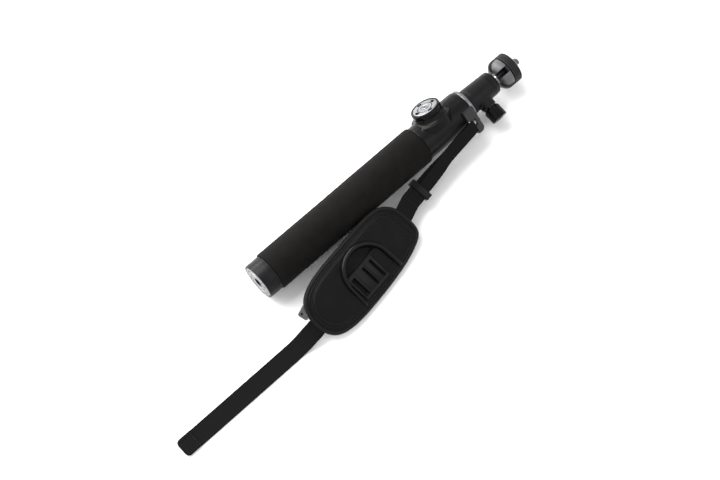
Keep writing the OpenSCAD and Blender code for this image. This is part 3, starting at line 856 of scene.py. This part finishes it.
def make_neck():
    """The neck shell with its flared boss, cast as one."""
    x0, x1 = span("neck_housing")
    shell = turned("neck_shell", [
        (0, x0), (NECK_R - 0.3, x0), (NECK_R, x0 + 0.4), (NECK_R, x1 - 2.2), (NECK_R - 0.5, x1 - 0.7),
        (NECK_R - 1.2, x1), (0, x1)])
    foot, flare = 5.5, 4.2
    hollow = arc(flare, range(-90, -181, -18), (KNOB_R + flare, LOCK_SEAT - 0.5))
    boss = turned("boss", [(0, foot), (KNOB_R + flare, foot)] + hollow + [
        (KNOB_R, LOCK_SEAT - 0.25), (KNOB_R - 0.25, LOCK_SEAT), (0, LOCK_SEAT)], BOSS)
    fuse(shell, boss)
    melt(shell, 0.42, 6)
    cut(shell, rod("bore", TUBE_R + 0.05, x0 - 1, x1 + 1, sides=96),
        rod("pocket", 5.6, 0, LOCK_SEAT + 1, where=BOSS))
    fit(shell, "handle", DARK_SATIN, "dark_satin_plastic", "neck_housing", angle=40)


def make_neck_trim():
    """The black sleeve round the boss, and the bright ring and the bush at the neck's mouth."""
    sleeve = turned("boss_gloss_sleeve", [
        (KNOB_R - 0.6, 12.4), (KNOB_R + 1.5, 12.4), (KNOB_R + 0.95, 13.1), (KNOB_R + 0.5, 14.0),
        (KNOB_R + 0.22, 15.1), (KNOB_R + 0.12, 16.2), (KNOB_R + 0.1, LOCK_SEAT - 0.3),
        (KNOB_R - 0.15, LOCK_SEAT), (KNOB_R - 0.6, LOCK_SEAT)], BOSS)
    fit(sleeve, "handle", GLOSS, "black_gloss_plastic")

    r0, r1 = span("neck_ring")
    ring_r = radius("neck_ring")
    ring = turned("neck_trim_ring", [
        (RING_SEAT_R + 0.02, r0 + 0.02), (ring_r - 0.1, r0 + 0.02), (ring_r, r0 + 0.12), (ring_r, r1 - 0.6),
        (ring_r - 0.15, r1 - 0.2), (ring_r - 0.5, r1), (RING_SEAT_R + 0.02, r1)])
    fit(soften(ring, 0.12), "handle", RING_METAL, "chrome", "neck_ring")
    b0, b1 = span("neck_bush")
    bush = turned("mouth_bush", [
        (11.05, b0), (TUBE_R, b0), (TUBE_R, r0), (RING_SEAT_R - 0.02, r0), (RING_SEAT_R - 0.02, b1 - 0.3),
        (12.1, b1), (11.35, b1), (11.05, b1 - 0.3)])
    fit(bush, "handle", GLOSS, "acetal", "neck_bush")


def make_lug():
    """The ear, in the frame of its bar: X along the pole, Y along the bar, Z out."""
    ear_r, half_t, foot, end, slot = 8.3, 1.5, 15.0, -7.2, 5.6
    plate = block("strap_ear", (0, end, -half_t), (ear_r, foot, half_t), LUG)
    cut(plate, block("slot", (-1, -slot, -4), (5.2, slot, 4), LUG))
    rounding = rod("round", 3.6, -half_t, half_t, (ear_r - 3.6, end + 3.6), LUG)
    cut(plate, block("corner", (ear_r - 3.6, end - 1, -4), (ear_r + 1, end + 3.6, 4), LUG))
    fuse(plate, rounding)
    end_web = block("end_web", (-1.0, end, -half_t), (2, end + 1.7, half_t), LUG)
    root = block("root", (-1.2, 6.2, -4), (ear_r + 0.2, 15, half_t + 0.1), LUG)
    fuse(plate, end_web, root)
    lug0, lug1 = span("strap_lug")
    cut(plate, rod("neck_clear", NECK_R - 0.15, lug0 - 9, lug1 + 9, sides=96))
    soften(plate, 0.55, 3)
    fit(plate, "handle", LUG_GREY, "grey_plastic", "strap_lug")
    bar = turned("strap_bar", [(0, end + 0.4), (0.95, end + 0.4), (1.2, end + 0.7), (1.2, 7.5), (0, 7.5)],
                 axes_at(BAR, BAR_AXIS, (1, 0, 0)), 32)
    fit(bar, "handle", CHROME, "chrome")


def make_knob():
    """The lock knob, in the frame of its boss: Z runs out from the pole."""
    seat = LOCK_SEAT + 0.2
    dial_r = 10.4
    cap = turned("lock_knob_cap", [
        (3.0, seat), (KNOB_R - 0.5, seat), (KNOB_R, seat + 0.4), (KNOB_R, KNOB_TOP - 1.0),
        (KNOB_R - 0.3, KNOB_TOP - 0.3), (KNOB_R - 0.85, KNOB_TOP), (dial_r + 0.2, KNOB_TOP - 0.05),
        (dial_r + 0.02, KNOB_TOP - 0.35), (dial_r + 0.02, KNOB_TOP - 1.6), (3.0, KNOB_TOP - 1.6)], BOSS)
    fit(soften(cap, 0.15), "lock_knob", GLOSS, "black_gloss_plastic", "knob_cap")
    dish = KNOB_TOP - 0.3
    plate = turned("dial_face", [
        (2.65, dish - 0.9), (dial_r, dish - 0.9), (dial_r, dish - 0.1), (dial_r - 0.35, dish + 0.12),
        (6.7, dish), (6.55, dish - 0.5), (6.05, dish - 0.5), (5.9, dish), (4.0, dish + 0.1),
        (3.6, dish - 0.3), (3.2, dish - 0.3), (3.0, dish + 0.15), (2.65, dish + 0.1)], BOSS)
    wells = []
    for quarter in range(4):
        here = BOSS @ Matrix.Rotation(math.radians(90 * quarter), 4, "Z")
        slot = block("well", (6.95, -1.0, dish - 2), (9.45, 1.0, dish + 2), here)
        wells.append(fuse(slot, rod("well_end", 1.25, dish - 2, dish + 2, (8.2, -1.0), here, 32),
                          rod("well_end", 1.25, dish - 2, dish + 2, (8.2, 1.0), here, 32)))
    cut(plate, *wells)
    inlay = turned("dial_ring_inlay", [
        (6.06, dish - 0.49), (6.54, dish - 0.49), (6.54, dish - 0.2), (6.06, dish - 0.2)], BOSS)
    fit(inlay, "lock_knob", GLOSS, "black_gloss_plastic")
    fit(soften(plate, 0.12, 2), "lock_knob", DIAL_METAL, "silver_plate", "dial_plate")
    screw = turned("dial_centre_screw", [
        (0, dish - 0.9), (2.6, dish - 0.9), (2.6, dish + 0.1), (2.1, dish + 0.4), (0, dish + 0.5)], BOSS, 48)
    cut(screw, rod("hex", 1.2, dish - 0.2, dish + 2, where=BOSS, sides=6))
    fit(soften(screw, 0.1), "lock_knob", STEEL, "chrome", "dial_screw")
    shaft = turned("lock_knob_shaft", [
        (0, 12.6), (2.5, 12.6), (3.0, 13.1), (3.0, KNOB_TOP - 1.3), (0, KNOB_TOP - 1.3)], BOSS, 48)
    fit(shaft, "lock_knob", CHROME, "chrome", "lock_shaft")
    bush = turned("lock_thread_bush", tube_profile(LOCK_SEAT - 1.3, LOCK_SEAT, 5.5, 3.05, 0.2), BOSS, 64)
    fit(bush, "handle", BRASS, "brass", "lock_bush")


# ---------------------------------------------------------------- stages
def make_stages():
    """Three stages, each with its guide plug, and a mouth bush on the first two."""
    step, wall = 1.7, 0.8
    for i in (1, 2, 3):
        r = 11 - step * (i - 1)
        body = f"stage{i}"
        outer = TUBE_R - 1 if i == 1 else r + step - wall
        x0, x1 = span(f"stage{i}_tube")
        fit(turned(f"{body}_tube_drawn", tube_profile(x0, x1, r, r - wall)), body, TUBE, "tube_alloy",
            f"stage{i}_tube")
        p0, p1 = span(f"stage{i}_plug")
        plug = tube_profile(p0, p1, outer - 0.05, r + 0.01, 0.5)
        fit(turned(f"{body}_guide_plug", plug), body, ACETAL, "acetal", f"stage{i}_plug")
        if i < 3:
            b0, b1 = span(f"stage{i}_bush")
            bush = tube_profile(b0, b1, r - wall - 0.01, r - step + 0.05)
            fit(turned(f"{body}_mouth_bush", bush), body, GLOSS, "black_gloss_plastic", f"stage{i}_bush")


# ---------------------------------------------------------------- ball head
BALL_X = JOINT["head_tilt"]["pos_m"][0] / MM
BALL_R = radius("ball")
WHEEL_R = radius("lock_wheel")
# The wheel's lobes, and how far it is screwed round, in degrees.
LOBES, WHEEL_TURN = 5, 51.7
STUD_R = 3.175


def make_head():
    """The ball head's shell with its thumbscrew boss, its end collar and the threaded insert."""
    x0, x1 = span("head_housing")
    r0, r1 = 11.0, 10.1
    shell = turned("head_shell", [
        (0, x0), (r0 - 0.5, x0), (r0, x0 + 0.5), (r0, x0 + 2.2), (r0 - 0.35, x0 + 2.5), (r0 - 0.35, x0 + 3.0),
        (r0 - 0.05, x0 + 3.3), (r1, x1 + 0.02), (0, x1 + 0.02)])
    boss = turned("thumb_boss", [
        (0, 2), (6.9, 2), (6.9, 9.6), (6.35, 11.2), (6.3, 13.9), (5.9, 14.4), (0, 14.4)], THUMB)
    fuse(shell, boss)
    melt(shell, 0.36, 3)
    cut(shell, rod("socket", 7.6, x0 - 1, x0 + 4), rod("cavity", BALL_R + 0.45, x0 + 6, x1 + 1, sides=64),
        rod("pad_way", 2.9, 0, 13, where=THUMB), rod("seat", 4.2, 12, 16, where=THUMB))
    fit(shell, "stage3", COATED, "black_satin_metal", "head_housing", angle=40)

    c0, c1 = span("head_collar")
    cavity = BALL_R + 0.05
    inner = arc(cavity, range(0, 40, 6), (0, BALL_X))
    collar = turned("head_end_collar", [
        (cavity, c0), (r1, c0 + 0.02), (r1 - 0.12, c1 - 3), (r1 - 0.45, c1 - 1.5),
        (r1 - 1.2, c1 - 0.8), (r1 - 2.0, c1 - 0.4), (r1 - 2.9, c1), (6.7, c1), (5.6, c1 - 0.8)] + inner[::-1])
    fit(collar, "stage3", COATED, "black_satin_metal", "head_collar", angle=40)
    insert = turned("thumb_thread_insert", tube_profile(12, 14.4, 4.2, 2.55, 0.2), THUMB, 48)
    fit(insert, "stage3", BRASS, "brass", "thumb_insert")


def make_thumb():
    """The fluted thumbscrew and its shaft."""
    z0, z1, r = 14.7, 26.3, 6.9
    knob = turned("thumb_knob_fluted", [
        (0, z0), (r - 2.2, z0), (r - 1.2, z0 + 0.35), (r, z0 + 1.8), (r, z1 - 0.7), (r - 0.7, z1), (3.2, z1),
        (2.7, z1 - 0.45), (0, z1 - 0.5)], THUMB)
    cut(knob, *[rod("flute", 2.0, z0 - 1, z1 + 1, at, THUMB, 40) for at in arc(r + 0.7, range(90, 450, 60))])
    fit(soften(knob, 0.35, 3), "thumb", GLOSS, "black_gloss_plastic", "thumb_knob")
    shaft = turned("thumb_screw_shaft", [
        (0, 9.8), (2.1, 9.8), (2.5, 10.2), (2.5, z0 + 2), (0, z0 + 2)], THUMB, 48)
    fit(shaft, "thumb", CHROME, "chrome", "thumb_shaft")


def make_ball():
    """The ball, bored through for the stud."""
    round_part = arc(BALL_R, range(-78, 67, 12), (0, BALL_X))
    ball = turned("ball_turned", [(2.65, BALL_X - 2.6)] + round_part + [(2.65, BALL_X + 6.45)])
    fit(ball, "ball_body", CHROME, "chrome", "ball")


def make_stud():
    """The camera stud, with its thread above the seat."""
    x0, x1 = span("camera_stud")
    w0 = span("lock_wheel")[0]
    seat = span("seat_plate")[1]
    stud = turned("camera_stud_turned", [
        (0, x0), (2.3, x0), (2.6, x0 + 0.3), (2.6, w0 - 0.6), (STUD_R - 0.2, w0), (STUD_R - 0.35, w0 + 0.4),
        (STUD_R - 0.35, x1 - 0.9), (STUD_R - 1.0, x1 - 0.15), (STUD_R - 1.3, x1), (0, x1)], steps=64)
    fit(stud, "stud", STEEL, "chrome", "camera_stud")
    ridge = thread_ridge("camera_stud_thread", STUD_R - 0.4, seat - 1, x1 - 0.6)
    fit(ridge, "stud", STEEL, "chrome")


def make_wheel():
    """The lobed lock wheel and the threaded nut inside it."""
    w0, w1 = span("lock_wheel")
    wheel = turned("lock_wheel_lobed", [
        (4.62, w0), (7.6, w0), (8.7, w0 + 0.2), (9.8, w0 + 0.6), (10.8, w0 + 1.2), (11.6, w0 + 1.9),
        (12.25, w0 + 2.7), (12.7, w0 + 3.6), (WHEEL_R - 0.1, w0 + 4.6), (WHEEL_R, w0 + 5.6),
        (WHEEL_R, w1 - 1.4), (WHEEL_R - 0.3, w1 - 0.5), (WHEEL_R - 1.1, w1), (4.62, w1)])
    slots = []
    half = 2.75
    for i in range(LOBES):
        turn = POLE @ Matrix.Rotation(math.radians(i * 360 / LOBES + WHEEL_TURN), 4, "Z")
        groove = block("groove", (7.4, -half, w0 - 1), (20, half, w1 - 0.6), turn)
        fuse(groove, rod("groove_root", half, w0 - 1, w1 - 0.6, (7.4, 0), turn, 32))
        slots.append(groove)
    cut(wheel, *slots)
    fit(soften(wheel, 1.0, 4), "wheel", WHEEL_GREY, "grey_plastic", "lock_wheel")
    nut = turned("wheel_thread_nut", tube_profile(w0, w1, 4.6, STUD_R + 0.05, 0.3), steps=64)
    fit(nut, "wheel", STEEL, "brass", "wheel_nut")


def make_platform():
    """The ridged tyre, its core and the bright seat that the camera stands on."""
    p0, p1 = span("platform_pad")
    pad_r = radius("platform_pad")
    ridged = [(pad_r - 1.18, p0 + 0.02), (pad_r - 0.5, p0 + 0.02), (pad_r, p0 + 0.35)]
    for groove in (1.6, 3.4, 5.2):
        ridged += [(pad_r, p0 + groove - 0.15), (pad_r - 0.5, p0 + groove + 0.05),
                   (pad_r - 0.5, p0 + groove + 0.55), (pad_r, p0 + groove + 0.75)]
    ridged += [(pad_r, p1 - 0.3), (pad_r - 0.4, p1 - 0.02), (pad_r - 1.18, p1 - 0.02)]
    fit(turned("platform_tyre", ridged), "platform", RUBBER, "black_rubber", "platform_pad")
    core = turned("platform_core", tube_profile(p0, p1, pad_r - 1.2, STUD_R + 0.08, 0.2))
    fit(core, "platform", GLOSS, "black_gloss_plastic", "platform_disc")
    s0, s1 = span("seat_plate")
    edge = radius("seat_plate")
    seat = turned("camera_seat_plate", [
        (STUD_R + 0.08, s0), (edge, s0), (edge, s0 + 0.35), (edge - 0.2, s0 + 0.5), (9.6, s0 + 0.55),
        (9.2, s0 + 0.7), (9.2, s1 - 0.15), (9.0, s1), (7.6, s1), (7.4, s1 - 0.2), (6.6, s1 - 0.2), (6.4, s1),
        (STUD_R + 0.3, s1), (STUD_R + 0.08, s1 - 0.2)])
    fit(seat, "platform", POLE_METAL, "silver_plate", "seat_plate")


# ---------------------------------------------------------------- strap
# The pad's two ends along its own frame.
PAD_X0, PAD_X1 = -58.3, 54.6
# The loop's radius round the bar, and how far each of its runs is above or below the slider's middle.
LOOP_TURN = 2.05
RUN_GAP = 1.6


def pad_point(x, y, z=0.0):
    """A place on the pad: along, across and up from its middle, in millimetres."""
    return PAD @ Vector((x * MM, y * MM, z * MM))


def on_strap(s, h=0.0):
    """A place on the strap's loop, along and up from the slider's middle, in millimetres."""
    return GLIDE @ Vector((s * MM, 0, h * MM))


def make_strap_loop():
    """The narrow webbing folded round the lug's bar, with both runs back to the upper strap."""
    turns = [(LUG @ Vector((x * MM, 0, z * MM)), BAR_AXIS) for x, z in arc(LOOP_TURN, range(90, -91, -30))]
    # Each run is set aside from the loop's middle by this much, at places along it from the slider.
    aside = {-6: 0.0, -3.6: 0.6, 0: 1.5, 12: 1.5, 24: 0.9, 36: 0.0}
    # Towards their sewn ends the runs close up between the wider layers.
    lift = {-6: 0.7, -3.6: 1.1}
    runs = []
    for side in (1, -1):
        runs.append([(on_strap(s, side * lift.get(s, RUN_GAP)) - GLIDE_ACROSS * side * y * MM, GLIDE_ACROSS)
                     for s, y in aside.items()])
    made = band("strap_loop_webbing", runs[0] + turns + runs[1][::-1], 9.6, 1.1, 0.9, 0.02)
    fit(made, "strap", WEBBING, "webbing", "strap_loop", angle=50)


def make_glide():
    """The tri-glide slider: a rounded bar with a window for each run."""
    bar = block("tri_glide_moulded", (-2.7, -9.5, -3.3), (2.7, 9.5, 3.3), GLIDE)
    windows = [block("window", (-5, -8, z * RUN_GAP - 1), (5, 8, z * RUN_GAP + 1), GLIDE) for z in (-1, 1)]
    cut(bar, *windows)
    fit(soften(bar, 0.9, 4), "glide", GLOSS, "black_gloss_plastic", "tri_glide")


def make_upper_strap():
    """The sewn stack of webbing from the pad to the loop, with its stitches."""
    bend = (pad_point(PAD_X1 + 3.5, 2.3) + on_strap(-16)) / 2
    stations = [(pad_point(PAD_X1 - 4, 2), PAD_ACROSS), (pad_point(PAD_X1, 2.2), PAD_ACROSS),
                (bend, GLIDE_ACROSS), (on_strap(-11.5), GLIDE_ACROSS), (on_strap(-7), GLIDE_ACROSS),
                (on_strap(-3.4), GLIDE_ACROSS)]
    thick = 3.4
    made = band("strap_upper_webbing", stations, 15, thick, 1.2, 0.08)
    fit(made, "strap", WEBBING, "webbing", "strap_upper", angle=50)
    up = GLIDE_ALONG.cross(GLIDE_ACROSS)
    top = thick / 2 + 0.12
    for side in (-1, 1):
        row = [(on_strap(s, top) + GLIDE_ACROSS * side * 5.6 * MM, up) for s in (-12, -9.5, -7, -4.6)]
        fit(stitching(f"strap_join_stitches_{side + 2}", row, 2.2, 1.5, 0.4), "strap", THREAD, "webbing")
    for i, s in enumerate((-12.4, -4.4)):
        row = [(on_strap(s, top) + GLIDE_ACROSS * y * MM, up) for y in (-5.6, -2, 2, 5.6)]
        fit(stitching(f"strap_join_bar_{i + 1}", row, 2.2, 1.5, 0.4), "strap", THREAD, "webbing")


def make_tail():
    """The tail comes out from under the pad, drops to the table and lies flat to its hem."""
    tip = span("tail_hem")[0]
    y = middle("tail_hem").y / MM
    flat = Vector((0, 1, 0))
    low = TABLE / MM + 0.6
    stations = [
        (pad_point(PAD_X0 + 3, -3.2, -0.6), PAD_ACROSS), (pad_point(PAD_X0 - 2.5, -3.3, -0.9), PAD_ACROSS),
        (Vector((2, -55.9, -9)) * MM, across_band(4, 12)),
        (Vector((-4.5, -55.7, -13)) * MM, across_band(2, 5)),
        (Vector((-12, -55.6, low)) * MM, flat), (Vector((-22, -55.7, low)) * MM, flat),
        (Vector((-60, -55.85, low)) * MM, flat), (Vector((tip + 13.5, y, low)) * MM, flat)]
    made = band("strap_tail_webbing", stations, 15, 1.2, 1.0, 0.05)
    fit(made, "strap", WEBBING, "webbing", "strap_tail", angle=50)
    turned_back = [(Vector((tip + s, y, low + 0.6)) * MM, flat) for s in (14.0, 7, 0.1)]
    hem = band("strap_tail_hem", turned_back, 15, 2.3, 0.7, 0.05, round_tip=3.4)
    fit(hem, "strap", WEBBING, "webbing", "tail_hem", angle=50)
    up = Vector((0, 0, 1))
    top = low + 1.75
    rows = [[(s, offset) for s in (2.5, 6, 9.5, 13)] for offset in (-6, 6)]
    rows += [[(12.6, s) for s in (-6, -2, 2, 6)], [(2.6, s) for s in (-5, -2, 2, 5)]]
    for i, row in enumerate(rows):
        places = [(Vector((tip + s, y + aside, top)) * MM, up) for s, aside in row]
        fit(stitching(f"tail_hem_stitches_{i}", places), "strap", THREAD, "webbing")


# ---------------------------------------------------------------- pad
PAD_EDGE = [
    (54.6, -4), (53.6, 8.5), (49.8, 16), (43.5, 21.2), (34, 23.8), (20, 24.8), (0, 24.8), (-20, 24.8),
    (-34, 23.8), (-45, 21), (-53, 15.5), (-57.3, 7), (-58.3, -3), (-56.6, -12.5), (-51.5, -19.5),
    (-42.5, -23.8), (-28, -26), (-10, -26.3), (8, -25.8), (25, -24.4), (39, -21.8), (49, -18.2), (53.4, -13)]
PANEL_EDGE = [
    (45.3, -3), (45, 8), (43.2, 14.5), (37.5, 18.4), (28, 19.6), (15, 19.7), (0, 19.7), (-15, 19.6),
    (-30, 18.9), (-41, 16.5), (-48.6, 11.5), (-52.8, 4.5), (-53.6, -3.5), (-51.6, -10.5), (-46.5, -16),
    (-37.5, -19.8), (-25, -21.8), (-9, -22.7), (8, -22.8), (23, -21.6), (35, -19.7), (42.8, -16.8), (45, -11)]


class Outline:
    """A smooth closed line in the pad's plane, with the distance of any point from it."""

    def __init__(self, stations, steps):
        count = len(stations)
        self.points = []
        for i in range(count):
            four = [stations[(i + k) % count] for k in (-1, 0, 1, 2)]
            self.points += [smooth_between(four, k / steps) for k in range(steps)]
        total = len(self.points)
        self.outward = []
        self.tree = KDTree(total)
        for i, point in enumerate(self.points):
            ahead = (self.points[(i + 1) % total] - self.points[i - 1]).normalized()
            self.outward.append(Vector((ahead.y, -ahead.x)))
            self.tree.insert(point.to_3d(), i)
        self.tree.balance()

    def inside(self, x, y):
        """How far inside the line a point is, in millimetres, negative outside."""
        near, i, gap = self.tree.find((x, y, 0))
        return -gap if (Vector((x, y)) - near.to_2d()).dot(self.outward[i]) > 0 else gap

    def path(self, inset, height, every=1):
        """The line let in by inset, as (place, outward, up) in the row frame."""
        turn = PAD.to_3x3()
        out = []
        for point, outward in list(zip(self.points, self.outward))[::every]:
            at = point - outward * inset
            out.append((pad_point(at.x, at.y, height), turn @ outward.to_3d(), turn @ Vector((0, 0, 1))))
        return out


# The arch's middle on the pad, its radius, how far its legs spread and the edge of the well inside it.
ARCH_AT = (1.2, -4.2)
ARCH_R = 20.4
LEG_LEAN = math.radians(2)
WELL_R = 18.2
# The pad's bound edge, and the sewn line round its panel.
RIM = Outline(PAD_EDGE, 12)
PANEL = Outline(PANEL_EDGE, 12)


def pad_top(x, y):
    """Height of the pad's upper face: a sloping border, a sewn channel and a low crown."""
    edge, border, crown, channel = -0.2, 3.0, 0.8, 1.0
    rim, panel = RIM.inside(x, y), PANEL.inside(x, y)
    if panel < 0:
        height = edge + border * math.sin(max(0.0, rim / max(rim - panel, 0.01)) * math.pi / 2)
    else:
        height = edge + border + crown * (1 - math.exp(-panel / 2.5))
    return height - channel * math.exp(-(panel / 0.8) ** 2)


def soft_step(value):
    """One where value is well above nothing, and nothing where it is well below, over about a millimetre."""
    return 1 / (1 + math.exp(max(-30.0, min(30.0, -value / 0.3))))


def arch_well(x, y):
    """One inside the arch above the buckle, where the cover is pressed down, and under the slots."""
    buckle_top, half_long, half_wide = 4.2, 12.5, 8.6
    crescent = soft_step(WELL_R - math.hypot(x - ARCH_AT[0], y - ARCH_AT[1])) * soft_step(y - buckle_top)
    slots = soft_step(half_long - abs(x - BUCKLE_AT[0])) * soft_step(half_wide - abs(y - BUCKLE_AT[1] + 0.6))
    return max(crescent, slots)


def make_pad_body():
    """The padded body: a blown-up cushion, shaped to its border, channel, crown and wells."""
    half_t, let_in, well_deep = 2.3, 2.6, 2.6
    outline = [(x * MM, y * MM, -half_t * MM) for x, y in (
        p - n * let_in for p, n in list(zip(RIM.points, RIM.outward))[::3])]
    draw(outline + outline[:1])
    bpy.ops.mesh.remove_doubles(threshold=MM / 1000)
    bpy.ops.mesh.edge_face_add()
    bpy.ops.mesh.extrude_region_move(TRANSFORM_OT_translate={"value": (0, 0, 2 * half_t * MM)})
    bpy.ops.mesh.select_all(action="SELECT")
    bpy.ops.mesh.normals_make_consistent(inside=False)
    bpy.ops.object.mode_set(mode="OBJECT")
    made = bpy.context.object
    made.name = "pad_cushion"
    modify(made, "REMESH", mode="VOXEL", voxel_size=1.3 * MM)
    inflate(made, 1.1)
    modify(made, "SUBSURF", levels=1, render_levels=1)
    for vertex in made.data.vertices:
        x, y, z = (c / MM for c in vertex.co)
        if z > -0.4:
            share = min(1.0, (z + 0.4) / 1.6)
            crease = 0.16 * noise.noise((x / 6, y / 4, 3.1)) + 0.10 * noise.noise((x / 2.5, y / 2.5, 7.7))
            shaped = pad_top(x, y) + crease - well_deep * arch_well(x, y) + 0.2 * (z - half_t)
            z = z * (1 - share) + shaped * share
        else:
            z = max(z, -2.9) + 0.25 * math.exp(-(RIM.inside(x, y) / 3) ** 2)
        vertex.co.z = z * MM
    settle(made, PAD)
    fit(made, "strap", LEATHER, "pad_fabric", "pad_body", angle=60)


def inflate(obj, cap_mm):
    """Blows the cover up from inside as a cloth, and holds every point within a cap of where it began."""
    scene = bpy.context.scene
    start = [v.co.copy() for v in obj.data.vertices]
    pick(obj)
    cloth = obj.modifiers.new("cloth", "CLOTH")
    cloth.settings.use_pressure = True
    cloth.settings.uniform_pressure_force = 4
    cloth.settings.quality = 5
    cloth.settings.tension_stiffness = 30
    cloth.settings.effector_weights.gravity = 0
    frames = 20
    cloth.point_cache.frame_start = 1
    cloth.point_cache.frame_end = frames
    for number in range(1, frames + 1):
        scene.frame_set(number)
    bpy.ops.object.modifier_apply(modifier=cloth.name)
    scene.frame_set(1)
    for vertex, home in zip(obj.data.vertices, start):
        moved = vertex.co - home
        if moved.length > cap_mm * MM:
            vertex.co = home + moved.normalized() * cap_mm * MM


def make_pad_trim():
    """The pad's bound edge, the piping round its panel, and a row of stitches in each."""
    binding = cording("pad_edge_binding", RIM.path(1.9, -0.3), lambda t: oval(3.8, 4.6, 16))
    fit(binding, "strap", BINDING, "binding", "pad_binding", angle=80)
    piping = cording("pad_panel_piping", PANEL.path(0, 2.05), lambda t: oval(1.2, 1.3, 10))
    fit(piping, "strap", BINDING, "binding", angle=80)
    row = [(p, up) for p, out, up in PANEL.path(2.0, 3.28, 2)]
    fit(stitching("pad_panel_stitches", row + row[:1]), "strap", THREAD, "pad_fabric")
    row = [(p, up) for p, out, up in RIM.path(3.5, 1.72, 2)]
    fit(stitching("pad_binding_stitches", row + row[:1], 2.8, 1.6, 0.36), "strap", THREAD, "binding")


def arch_path():
    """The arch's line over the pad: a leg, the round and a leg, as (x, y) in millimetres."""
    points = []
    for side in (-1, 1):
        leg = [(ARCH_AT[0] + side * (ARCH_R + math.sin(LEG_LEAN) * s), ARCH_AT[1] - math.cos(LEG_LEAN) * s)
               for s in (17, 15, 12, 9, 6, 3)]
        if side < 0:
            points += leg + arc(ARCH_R, [180 - 4.5 * k for k in range(41)], ARCH_AT)
        else:
            points += leg[::-1]
    return points


def make_arch():
    """The raised arch on the pad, above the buckle."""
    line = arch_path()
    turn = PAD.to_3x3()
    up = turn @ Vector((0, 0, 1))
    stations = []
    for i, (x, y) in enumerate(line):
        ahead = Vector(line[min(i + 1, len(line) - 1)]) - Vector(line[max(i - 1, 0)])
        ahead.normalize()
        stations.append((pad_point(x, y, 3.1), turn @ Vector((-ahead.y, ahead.x, 0)), up))

    def rim(t):
        """A half-round with a rolled crest, lower and thinner at the feet, and sunk along its first leg."""
        end = min(1.0, t * 4.5, (1 - t) * 12)
        wide, high = 2.3 * (0.7 + 0.3 * end), 4.3 * (0.45 + 0.55 * math.sin(end * math.pi / 2))
        return [(x * wide * MM, y * high * MM) for x, y in (
            (-1.15, -0.1), (-1.05, 0.15), (-0.85, 0.5), (-0.6, 0.82), (-0.25, 0.98), (0.15, 1.0), (0.5, 0.9),
            (0.75, 0.65), (0.85, 0.35), (1.0, 0.12), (1.1, -0.1))]

    made = cording("pad_arch_rim", stations, rim, closed=False)
    modify(made, "SUBSURF", levels=1, render_levels=1)
    fit(made, "strap", SATIN_BLACK, "black_rubber", "arch_rim", angle=70)


def make_buckle():
    """The ladder buckle: a plate with two rails, four bars and three slots."""
    where = PAD @ Matrix.Translation((BUCKLE_AT[0] * MM, BUCKLE_AT[1] * MM, PAD_T / 2 * MM))
    plate = block("ladder_buckle_moulded", (-13.5, -11.15, -0.2), (13.5, 11.15, 1.3), where)
    rails = [block("rail", (-13.4, y - 1.1, 0), (13.4, y + 1.1, 2.3), where) for y in (-10.0, 10.0)]
    bars = [block("bar", (x - w / 2, -9.5, 0), (x + w / 2, 9.5, h), where)
            for x, w, h in ((-12.9, 1.1, 2.1), (-3.6, 4.0, 1.8), (6.1, 2.8, 2.0), (12.3, 1.8, 2.1))]
    fuse(plate, *rails, *bars)
    slots = [block("slot", (x - w / 2, -9.0, -2), (x + w / 2, 7.8, 4), where)
             for x, w in ((-10.1, 4.4), (2.0, 2.5), (10.1, 2.2))]
    cut(plate, *slots)
    fit(soften(plate, 0.45, 3), "strap", SATIN_BLACK, "black_gloss_plastic", "ladder_buckle")


def make_tab():
    """The folded tab at the pad's lower end, and its rivet."""
    turn = PAD @ Matrix.Rotation(math.radians(12), 4, "Z")
    across = turn.to_3x3() @ Vector((0, 1, 0))
    stations = [(pad_point(PAD_X0 + x, 10.6 + x * 0.21, z), across)
                for x, z in ((6, -0.2), (1.5, 0.0), (-2.6, 0.0))]
    made = band("pad_pull_tab", stations, 8.6, 1.3, 0.5, 0.05, round_tip=1.6)
    fit(made, "strap", TAPE, "tab_fabric", "rear_tab", angle=50)
    dot = turned("tab_rivet", [(0, 0.4), (0.9, 0.4), (1.0, 0.7), (0.8, 0.95), (0, 1.05)],
                 PAD @ Matrix.Translation(((PAD_X0 - 0.6) * MM, 12.4 * MM, 0)), 24)
    fit(dot, "strap", GLOSS, "black_gloss_plastic")


# ---------------------------------------------------------------- build
add_camera()
add_studio()


def build():
    make_handle()
    make_insert()
    make_inner_handle()
    make_neck()
    make_neck_trim()
    make_lug()
    make_knob()
    make_stages()
    make_head()
    make_thumb()
    make_ball()
    make_stud()
    make_wheel()
    make_platform()
    make_strap_loop()
    make_glide()
    make_upper_strap()
    make_tail()
    make_pad_body()
    make_pad_trim()
    make_arch()
    make_buckle()
    make_tab()
    carry(ACETAL, "brake_shoe", "ball_seat")
    carry(BRASS, "clamp_pad")


build()

pick()
bpy.ops.mesh.primitive_plane_add(size=12, location=(0, 0, TABLE - 0.2 * MM))
floor = bpy.context.object
floor.name = "floor"
floor.data.materials.append(PAPER)
